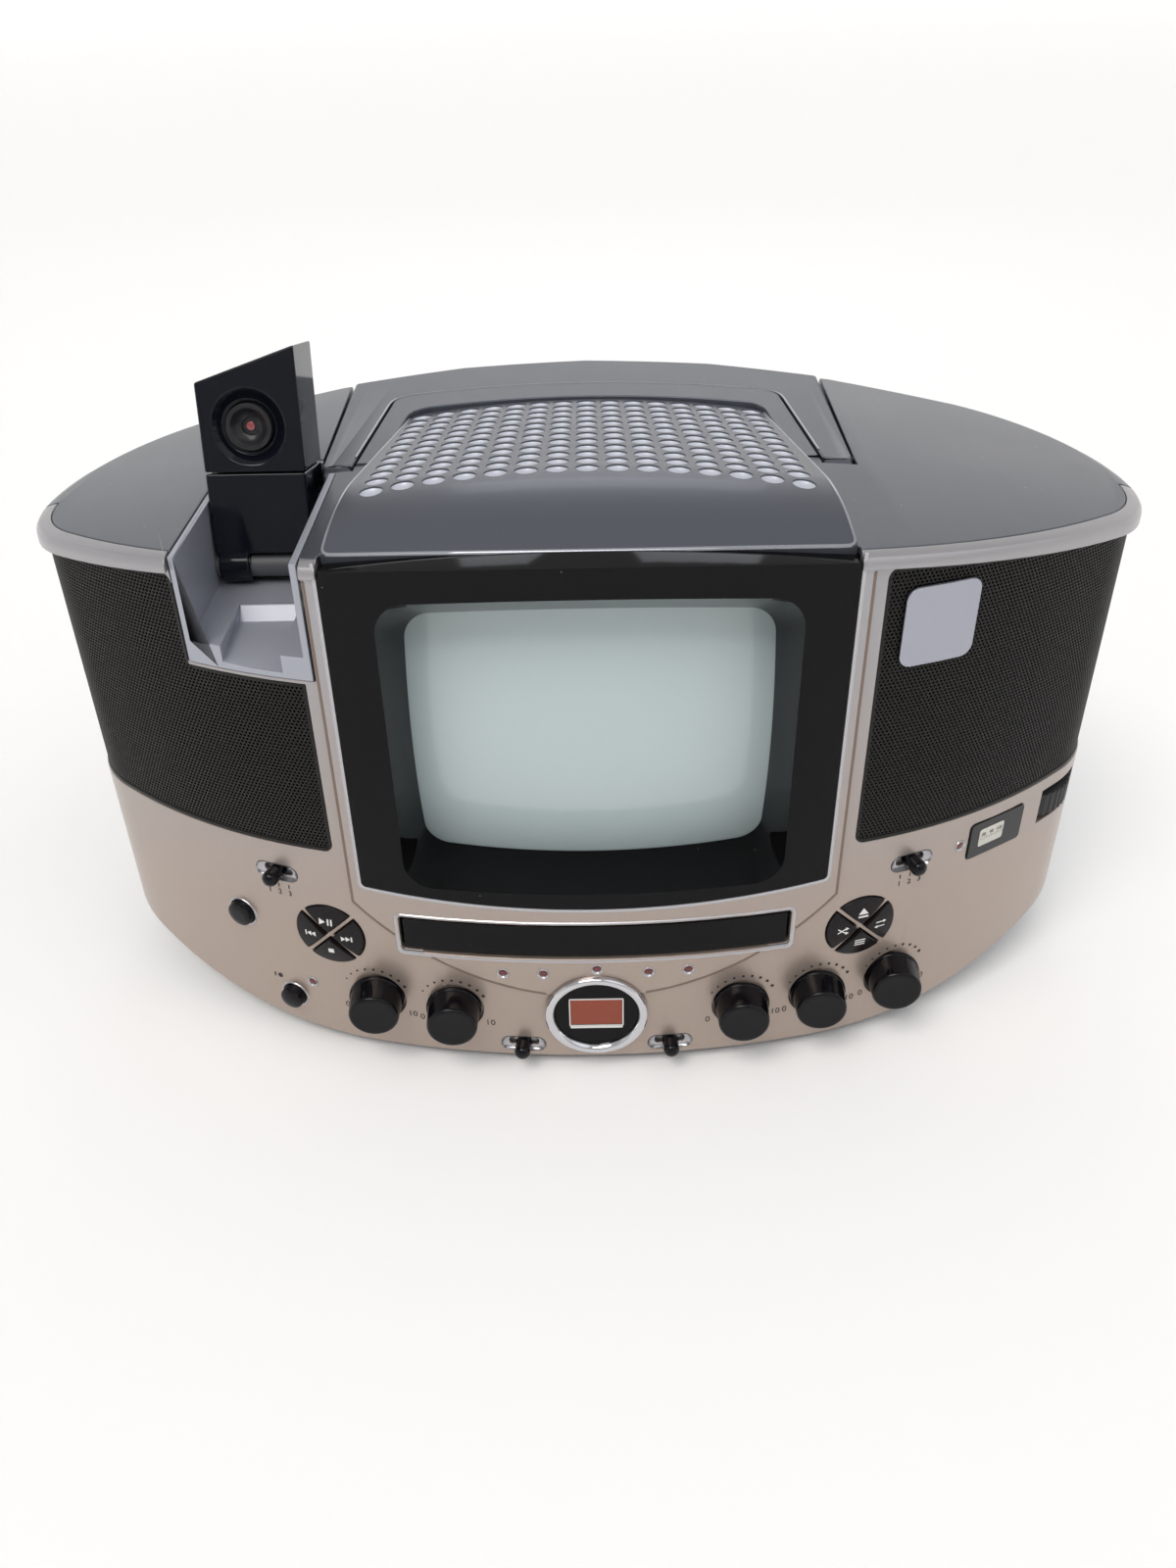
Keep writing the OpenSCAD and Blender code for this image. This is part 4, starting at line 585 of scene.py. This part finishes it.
# Picture tube and bezel: pale grey-green phosphor seen through glossy glass, in a gloss black frame.
# The bezel is moulded ABS with a mirror finish, so it shows only the brightest reflections.
tube_glass = finish("phosphor_behind_glass", "#b2c0c1", 0.0, 0.35, 2.0, 0.01, 0.0, coat=1.0, specular=0.3)
gloss_black = finish("gloss_black_abs", "#0b0a0c", 0.0, 0.07, 2.0, 0.05, 0.001, specular=0.14, dust_mm=0.12)
paint(tube_glass, "picture_tube")
dressed("tv_bezel", gloss_black, 0.0)

# Disc tray: a matt black carrier and a gloss black door that stands in its own opening.
dressed("disc_tray", moulded_black, 0.3)
dressed("tray_door", gloss_black, 0.35)

# Display: a chromed ring round a gloss black disc with a reddish liquid-crystal window. The window has
# a pale frame, and the wider white sill along its lower side is a painted highlight.
chrome = finish("chrome_plate", "#d0d0d4", 1.0, 0.07, 2.0, 0.01, 0.0)
crystal = finish("liquid_crystal_glass", "#874331", 0.0, 0.12, 1.2, 0.06, 0.0, specular=0.3)
printed_white = finish("white_print", "#d9d9d6", 0.0, 0.5, 0.4, 0.04, 0.0)
display_z = 30.7
display = facing(0, display_z, 0.0)
arc = np.linspace(0, math.pi / 2, 7)
ring_profile = ([[16.6, -8], [19.0, -8], [19.0, 1.3], [20.4, 1.3], [20.4, 2.2]]
                + [[18.9 + 1.5 * math.cos(a), 2.2 + 1.5 * math.sin(a)] for a in arc[1:]]
                + [[18.1, 3.65], [17.4, 3.2], [16.9, 2.5], [16.6, 1.9]])
ring = turned("display_ring", ring_profile, display, chrome, "cabinet", segments=160, ring=True)
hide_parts("lcd_ring")
dressed("lcd_module", gloss_black, 0.2)


def box_path(left, right, low, high, radius):
    """A rectangle's path with rounded corners."""
    return rounded([[left, low, radius], [right, low, radius], [right, high, radius],
                    [left, high, radius]], 5)


plate("display_window", box_path(-10.4, 10.4, -5.6, 8.0, 0.5), [[0, 1.0], [0, 1.3], [0.15, 1.4]], display,
      crystal, "cabinet")
swept("display_window_frame", box_path(-10.7, 10.7, -6.3, 8.3, 0.6),
      [[-0.35, 1.2], [-0.35, 1.62], [0.1, 1.62], [0.1, 1.2]], display,
      printed_white, "cabinet")
# The sill's white is a painted highlight along the window's lower edge.
plate("display_window_sill", box_path(-10.4, 10.4, -7.4, -6.3, 0.2), [[0, 1.3], [0, 1.62]], display,
      printed_white, "cabinet")

# Knobs: gloss black caps with a flange, a slightly tapered side and a flat face with a rounded edge.
# Dark dots round the top of each and plain figures at its ends stand for the printed scale.
knob_at = {"master_volume_knob": (-88.5, 31.8), "balance_knob": (-57, 30.7),
           "voice_control_knob": (58.2, 30.4), "echo_knob": (89.5, 30.7), "mic_volume_knob": (121.1, 31.7)}
knob_gloss = finish("polished_black_abs", "#0c0b0f", 0.0, 0.1, 2.0, 0.05, 0.001, specular=0.22)
print_dark = finish("dark_screen_print", "#241a16", 0.0, 0.6, 0.3, 0.1, 0.0)
face_arc = np.linspace(0, math.pi / 2, 6)
knob_profile = ([[0, -2], [3, -2], [3, 0.2], [11.1, 0.2], [11.1, 1.5], [10.9, 1.85], [10.65, 2.0],
                 [10.5, 2.4]]
                + [[8.55 + 1.45 * math.cos(a), 10.95 + 1.45 * math.sin(a)] for a in face_arc]
                + [[7.6, 12.33], [4.0, 12.28], [0, 12.28]])


def figure(text, height):
    """Outline of a figure as points and faces: the built-in font's curve made a mesh, centred."""
    curve = bpy.data.curves.new("figure", "FONT")
    curve.body = text
    curve.size = height
    curve.align_x = "CENTER"
    curve.align_y = "CENTER"
    curve.resolution_u = 3
    holder = bpy.data.objects.new("figure", curve)
    bpy.context.scene.collection.objects.link(holder)
    bpy.context.view_layer.update()
    evaluated = holder.evaluated_get(bpy.context.evaluated_depsgraph_get())
    drawn = evaluated.to_mesh()
    points = np.array([corner.co[:2] for corner in drawn.vertices])
    faces = [list(face.vertices) for face in drawn.polygons]
    evaluated.to_mesh_clear()
    bpy.data.objects.remove(holder)
    bpy.data.curves.remove(curve)
    return points, faces


print_lift = 0.07


class Sheet:
    """Flat printed shapes gathered into one piece: each shape adds its points and faces."""

    def __init__(self):
        self.points, self.faces, self.count = [], [], 0

    def put(self, outline, place, lift=print_lift, faces=None):
        points = place(outline[:, 0], outline[:, 1], np.full(len(outline), lift))
        faces = faces or [list(range(len(outline)))]
        self.points.append(points)
        self.faces += [[corner + self.count for corner in face] for face in faces]
        self.count += len(outline)

    def done(self, name, material, body):
        mesh = bpy.data.meshes.new(name)
        mesh.from_pydata(np.concatenate(self.points).tolist(), [], self.faces)
        return settle(name, mesh, material, body)


def dot(x, y, radius, sides=12):
    """A round dot's outline."""
    angle = np.linspace(0, 2 * math.pi, sides, endpoint=False)
    return np.stack([x + radius * np.cos(angle), y + radius * np.sin(angle)], 1)


def bar(x0, y0, x1, y1, width):
    """A straight stroke's outline between two points."""
    start, end = np.array([x0, y0]), np.array([x1, y1])
    side = np.array([-(y1 - y0), x1 - x0]) / np.linalg.norm(end - start) * width / 2
    return np.stack([start - side, end - side, end + side, start + side])


front_print = Sheet()
scale_r, scale_step = 14.2, 15
for node, (x, z) in knob_at.items():
    made = turned(node + "_cap", knob_profile, facing(x, z, 0.0), knob_gloss, body_of[node],
                  segments=112)
    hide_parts(node)

    def near_wall(across, up, out, x=x, z=z):
        return on_wall(run_at(x) + across, z + up, out)
    for step in range(-4, 5):
        turn = math.radians(90 - scale_step * step)
        size = 0.42 + 0.04 * (step + 4)
        front_print.put(dot(scale_r * math.cos(turn), scale_r * math.sin(turn), size), near_wall)
    for text, across in (("0", -13.6), ("10", 14.4)):
        points, faces = figure(text, 4.2)
        front_print.put(points + [across, -7.4], near_wall, faces=faces)

# Key pads: eight quarter keys of black ABS behind a silver cross, with white symbols. Play, back,
# forward, stop and eject are drawn as their common marks, and the rest as plain ones.
key_black = finish("satin_black_abs", "#161214", 0.0, 0.26, 1.0, 0.06, 0.004, specular=0.2)
for node in ("play_key", "back_key", "forward_key", "stop_key",
             "open_key", "repeat_key", "random_key", "program_key"):
    dressed(node, key_black, 0.35)
pad_x, pad_z = 104.2, 61.7
dome_r, dome_top = 70.0, 1.8


def on_pad(side):
    """A frame on a pad's domed keys: the height falls off the dome's top by its sphere."""
    flat = facing(side * pad_x, pad_z)

    def place(across, up, out):
        return flat(across, up, out + dome_top - dome_r + np.sqrt(dome_r ** 2 - across ** 2 - up ** 2))
    return place


def triangle(x, y, width, height):
    """A triangle that points to the right, or to the left with a negative width."""
    return np.array([[x - width / 2, y - height / 2], [x + width / 2, y], [x - width / 2, y + height / 2]])


def strip(x0, x1, y0, y1):
    """An upright rectangle's outline."""
    return np.array([[x0, y0], [x1, y0], [x1, y1], [x0, y1]])


marks = {
    "play_key": (-1, [triangle(-1.9, 7.2, 2.6, 3.0), strip(0.2, 0.9, 5.7, 8.7), strip(1.6, 2.3, 5.7, 8.7)]),
    "back_key": (-1, [strip(-10.2, -9.6, -1.2, 1.2), triangle(-8.5, 0, -1.9, 2.4),
                      triangle(-6.6, 0, -1.9, 2.4)]),
    "forward_key": (-1, [triangle(6.2, 0, 1.9, 2.4), triangle(8.1, 0, 1.9, 2.4),
                         strip(9.2, 9.8, -1.2, 1.2)]),
    "stop_key": (-1, [strip(-1.2, 1.2, -8.6, -6.4)]),
    "open_key": (1, [np.array([[-2.1, 6.9], [2.1, 6.9], [0, 9.7]]), strip(-2.1, 2.1, 5.4, 6.2)]),
    "repeat_key": (1, [bar(6.0, 1.1, 9.4, 1.1, 0.5), triangle(9.9, 1.1, 1.4, 1.7),
                       bar(6.6, -1.1, 10.0, -1.1, 0.5), triangle(6.1, -1.1, -1.4, 1.7)]),
    "random_key": (1, [bar(-10.0, 1.1, -6.8, -1.1, 0.5), bar(-10.0, -1.1, -6.8, 1.1, 0.5),
                       triangle(-6.2, 1.1, 1.4, 1.7), triangle(-6.2, -1.1, 1.4, 1.7)]),
    "program_key": (1, [strip(-2.2, 2.2, -6.6, -6.0), strip(-2.2, 2.2, -7.8, -7.2),
                        strip(-2.2, 2.2, -9.0, -8.4)]),
}
for node, (side, outlines) in marks.items():
    key_print = Sheet()
    for outline in outlines:
        key_print.put(outline, on_pad(side))
    key_print.done(node + "_mark", printed_white, body_of[node])

# Slide switches: a bullet-shaped black lever in a dished bowl, on a silver plate that slides with it behind
# the slot; bowl and plate take the paler lacquer, a painted highlight. Three short strokes and small figures
# mark the places of the upper two.
switch_at = {"monitor_switch": (-122.5, 88.5), "band_switch": (122.5, 88.5),
             "function_switch": (-29.8, 12.2), "video_switch": (29.8, 12.2)}
figured_switches = ("monitor_switch", "band_switch")
figure_pitch = 4.5
tip = np.linspace(0, math.pi / 2, 7)
lever_profile = ([[0, -4.6], [2.6, -4.6], [2.6, -3.4], [1.7, -3.4], [1.7, -1.2], [3.2, -1.2]]
                 + [[3.2 * math.cos(a), 4.6 + 2.6 * math.sin(a)] for a in tip[:-1]] + [[0, 7.2]])
for node, (x, z) in switch_at.items():
    here = facing(x, z)
    made = turned(node + "_lever", lever_profile, here, knob_gloss, body_of[node],
                  segments=40)
    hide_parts(node)
    plate(node + "_slide", box_path(-8.2, 8.2, -2.8, 2.8, 0.6), [[0, -4.6], [0, -3.6], [0.2, -3.5]], here,
          lacquer_painted_highlight, body_of[node])
    slot_edge = box_path(-6.25, 6.25, -2.15, 2.15, 2.1)
    bowl_edge = box_path(-8.95, 8.95, -3.75, 3.75, 3.7)
    depth = np.array([-1.72, -1.6, -1.2, -0.6, -0.05])[:, None]
    share = np.array([0.0, 0.3, 0.65, 0.9, 1.0])[:, None, None]
    flat = slot_edge[None] * (1 - share) + bowl_edge[None] * share
    bowl_points = here(flat[..., 0], flat[..., 1], depth)
    bowl = bpy.data.meshes.new(node + "_bowl")
    bowl.from_pydata(bowl_points.reshape(-1, 3).tolist(), [],
                     grid_faces(len(depth), len(slot_edge), False, True))
    settle(node + "_bowl", bowl, lacquer_painted_highlight, "cabinet", crease=60)
    if node in figured_switches:
        for step, text in enumerate("123"):
            across = figure_pitch * (step - 1)
            front_print.put(bar(across, -5.4, across, -7.2, 0.45), here)
            points, faces = figure(text, 3.4)
            front_print.put(points + [across, -9.8], here, faces=faces)

# Lamps: dark red lenses in countersunk holes, whose lit lower side shows as a bright crescent in the paler
# lacquer, a painted highlight.
lamp_red = finish("red_lamp_lens", "#5e1614", 0.0, 0.12, 2.0, 0.02, 0.0, coat=0.5)
lamp_at = [(-36, 51.7), (-20.3, 52), (0.5, 54.5), (20.5, 52.2), (36, 52.2), (-115.8, 33), (143.1, 88.7)]
lens_profile = [[0, -6], [1.55, -6], [1.55, -0.3], [1.3, -0.05], [0.8, 0.1], [0, 0.15]]
cup_profile = [[1.58, -1.0], [1.6, -0.2], [2.1, 0.3], [2.35, 0.33], [2.6, -0.1], [2.6, -1.0]]
for index, (x, z) in enumerate(lamp_at):
    out = panel_out if abs(x) < panel_half else 0.0
    flat = facing(x, z)

    def raised(across, up, lift, flat=flat, out=out):
        return flat(across, up, lift + out)
    lens = turned(f"lamp_lens_{index}", lens_profile, raised, lamp_red, "cabinet", segments=32)
    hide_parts("lamp_lenses")
    turned(f"lamp_cup_{index}", cup_profile, raised, lacquer_painted_highlight, "cabinet",
           segments=40, ring=True)

# Contrast knob and power button: small gloss black caps, each in a countersunk ring of the paler lacquer, a
# painted highlight.
small_caps = {
    "contrast_knob": (-141.7, 62.1, 5.5, [[0, -9], [3, -9], [5.5, -6], [5.5, 1.9], [5.2, 2.6], [4.5, 3.0],
                                          [2.5, 3.1], [0, 3.1]]),
    "power_button": (-124.9, 23.3, 5.0, [[0, -9], [2, -9], [2, -6], [5, -6], [5, 2.8], [4.7, 3.5],
                                         [4.0, 3.95], [2.0, 4.2], [0, 4.3]])}
for node, (x, z, radius, profile) in small_caps.items():
    here = facing(x, z)
    made = turned(node + "_cap", profile, here, knob_gloss, body_of[node], segments=64)
    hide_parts(node)
    collar = [[radius + 0.35, -0.6], [radius + 0.5, 0.15], [radius + 1.1, 0.28], [radius + 1.4, -0.2]]
    turned(node + "_ring", collar, here, lacquer_painted_highlight, "cabinet", segments=72, ring=True)
power = facing(*small_caps["power_button"][:2])
front_print.put(bar(-8.2, 7.6, -8.2, 9.8, 0.4), power)
front_print.put(dot(-5.6, 8.7, 1.1, 20), power)
front_print.done("front_print", print_dark, "cabinet")

# Tuning dial: a dark window with a clear opening, over a pale scale with plain figures and a red pointer.
# The knurled thumbwheel beside it moves the pointer.
dial_glass = finish("smoked_dial_window", "#17181a", 0.0, 0.15, 2.0, 0.03, 0.0, specular=0.4)
scale_card = finish("white_scale_card", "#c9c8bf", 0.0, 0.6, 0.5, 0.04, 0.002)
pointer_red = finish("red_pointer", "#c23a2c", 0.0, 0.3, 0.8, 0.03, 0.0)
dial = facing(159.5, 88.5)
dressed("dial_window", dial_glass, 0.3)
paint(pointer_red, "dial_pointer")
dressed("tuning_wheel", moulded_black, 0.25)
plate("dial_scale", box_path(-9.6, 3.6, -3.6, 4.6, 1.2), [[0, 0.1], [0, 0.28], [0.1, 0.32]], dial,
      scale_card, "cabinet")
dial_print = Sheet()
for step, text in enumerate(("88", "98", "108")):
    points, faces = figure(text, 2.3)
    dial_print.put(points + [-7.4 + 4.2 * step, 1.9], dial, lift=0.4, faces=faces)
for step in range(13):
    across = -8.7 + step * 0.97
    dial_print.put(bar(across, -0.4, across, 0.3 if step % 3 else 0.8, 0.18), dial, lift=0.4)
dial_print.done("dial_print", print_dark, "cabinet")

# Top cover, domed vent panel and handle: ABS sprayed gunmetal, with a fine flake and a satin coat. The
# edges of dome and handle carry a paler line, a painted highlight along their rounded edges. The bright
# baffle is pressed up into a dish under each vent hole.
gunmetal = finish("gunmetal_lacquer", "#585c64", 0.6, 0.34, 0.4, 0.07, 0.004, coat=0.15, dust_mm=0.2)
dressed("top_cover", gunmetal, 0.6)
dressed("vent_panel", gunmetal, 0.0)
bright_baffle = finish("bright_silver_baffle", "#c6cad4", 0.25, 0.45, 0.6, 0.02, 0.002)
paint(bright_baffle, "vent_baffle")
# The paler edge line is a painted highlight along the rounded edges of dome and handle.
edge_painted_highlight = finish("gunmetal_edge_painted_highlight", "#a4a7ae", 0.8, 0.28, 0.5, 0.08, 0.003)
dome_z, dome_front_r, dome_front_y, dome_side_r = 234.5, 85.0, -65.5, 700.0
dome_slope = math.radians(6)
straight_y = dome_front_y + dome_front_r * math.sin(dome_slope)
straight_z = dome_z - dome_front_r * (1 - math.cos(dome_slope))
vent_rows, vent_columns = 12, 15
vent_pitch, vent_narrowing = 10.5, 0.8
vent_front_y, vent_reach, vent_bow = -59, 105, 600
dish_sides = 24
crown_z, crown_bow = 223.72, 2822


def dome_height(x, y):
    """Height of the dome's skin: a front arc that runs into a slope, turned about an axis 700 mm
    under its crown."""
    ahead = np.minimum(y, straight_y) - dome_front_y
    along = np.where(y < straight_y, dome_z - dome_front_r + np.sqrt(dome_front_r ** 2 - np.square(ahead)),
                     straight_z - (y - straight_y) * math.tan(dome_slope))
    under = dome_z - dome_side_r
    return under + np.sqrt(np.square(along - under) - np.square(x))


row, column = np.meshgrid(np.arange(vent_rows), np.arange(vent_columns), indexing="ij")
pitch = vent_pitch - vent_narrowing * row / (vent_rows - 1)
vent_x = ((column - (vent_columns - 1) / 2) * pitch).reshape(-1, 1, 1)
vent_y = (vent_front_y + vent_reach * row / (vent_rows - 1)).reshape(-1, 1, 1) - vent_x ** 2 / vent_bow
dish = np.array([[4.04, 0.6], [3.7, 1.1], [2.9, 1.6], [1.5, 1.95], [0.01, 2.05]])
turn = np.linspace(0, 2 * math.pi, dish_sides, endpoint=False)[None, :, None]
dish_x = vent_x + dish[None, None, :, 0] * np.cos(turn)
dish_y = vent_y + dish[None, None, :, 0] * np.sin(turn)
dish_z = dome_height(dish_x, dish_y) - dish[None, None, :, 1]
dish_faces = np.array(grid_faces(dish_sides, len(dish), True, False))
dish_first = np.arange(vent_rows * vent_columns) * dish_sides * len(dish)
dish_faces = dish_faces[None] + dish_first[:, None, None]
dishes = bpy.data.meshes.new("vent_dishes")
dishes.from_pydata((np.stack([dish_x, dish_y, dish_z], -1) * MM).reshape(-1, 3).tolist(), [],
                   dish_faces.reshape(-1, 4).tolist())
settle("vent_dishes", dishes, bright_baffle, "cabinet", crease=60)


def on_dome(x, y, lift):
    """Points off the dome's skin."""
    return np.stack([x, y, dome_height(x, y) + lift], -1) * MM


def on_crown(x, y, lift):
    """Points off the cover's crown, which falls with the square of X."""
    return np.stack([x, y, crown_z - np.square(x) / crown_bow + lift], -1) * MM


edge_section = [[-0.55, -0.4], [-0.4, 0.08], [0.0, 0.22], [0.4, 0.08], [0.55, -0.4]]
dome_half, dome_flare, flare_y = 86.55, 0.0969, 100
nose_x, nose_y, nose_r = 86.5, -99.6, 3.0
nose_reach, nose_bow = 105.6, 1267
side_y = np.linspace(38, -96, 30)
side_x = dome_half - dome_flare * (side_y + flare_y)
nose = [[x, x ** 2 / nose_bow - nose_reach, 0] for x in np.linspace(-80, 80, 33)]
dome_edge = rounded([[-x, y, 0] for x, y in zip(side_x, side_y)] + [[-nose_x, nose_y, nose_r]] + nose
                    + [[nose_x, nose_y, nose_r]] + [[x, y, 0] for x, y in zip(side_x[::-1], side_y[::-1])])
swept("dome_edge", dome_edge, edge_section, on_dome, edge_painted_highlight, "cabinet", closed=False)

arm_x, arm_y = 88.6, -8
bend_x, bend_y, bend_r = 82.6, 64.6, 10.0
grip_y, grip_bow = 72.0, 880
grip = [[x, grip_y - x ** 2 / grip_bow, 0] for x in np.linspace(-68, 68, 29)]
handle_edge = rounded([[-arm_x, arm_y, 0], [-bend_x, bend_y, bend_r]] + grip
                      + [[bend_x, bend_y, bend_r], [arm_x, arm_y, 0]])
swept("handle_edge", handle_edge, edge_section, on_crown, edge_painted_highlight, "handle",
      closed=False)
dressed("carry_handle", gunmetal, 1.2)

# Camera well: a paler satin silver tray with sloping walls round the finger pocket.
well_lacquer = finish("well_lacquer", "#a3a6b0", 0.35, 0.42, 0.4, 0.04, 0.003, coat=0.2)
dressed("camera_well", well_lacquer, 0.35)

# Camera: a gloss black neck on a hinge bar, a head that turns on it, and a lens in a deep countersink.
# The lens has a black stepped barrel with a dark red iris at its bottom.
blue_black = finish("blue_black_gloss_abs", "#0e1018", 0.0, 0.08, 2.0, 0.05, 0.001,
                    specular=0.22, dust_mm=0.12)
dressed("camera_neck", blue_black, 1.0)
dressed("camera_head", blue_black, 0.8)
barrel_black = finish("satin_barrel_black", "#1d1d20", 0.0, 0.32, 0.6, 0.08, 0.004, specular=0.35)
iris_red = finish("red_iris", "#8a3238", 0.0, 0.2, 2.0, 0.03, 0.0, coat=1.0)
lean = math.radians(12)
hinge = (-42.5, 193.0)
lens_x, lens_up, face_y = -119.9, 50.0, -5.2


def at_lens(across, up, out):
    """The camera's leaning frame at the lens: up runs along the lean and out from the head's face."""
    across, up, out = np.broadcast_arrays(across, up, out)
    back = face_y - out
    high = lens_up + up
    return np.stack([lens_x + across, hinge[0] + back * math.cos(lean) + high * math.sin(lean),
                     hinge[1] - back * math.sin(lean) + high * math.cos(lean)], -1) * MM


barrel_profile = [[0, -12], [8.3, -12], [8.3, -1.1], [8.1, -0.6], [7.6, -0.45], [6.6, -0.5], [6.2, -0.9],
                  [5.6, -1.6], [4.6, -2.9], [3.2, -3.4], [2.9, -4.4], [0, -4.4]]
barrel = turned("lens_barrel", barrel_profile, at_lens, barrel_black, "lens", segments=80)
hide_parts("camera_lens")
turned("lens_iris", [[0, -4.3], [1.6, -4.3], [1.5, -3.9], [0.8, -3.65], [0, -3.6]], at_lens, iris_red,
       "lens", segments=32)
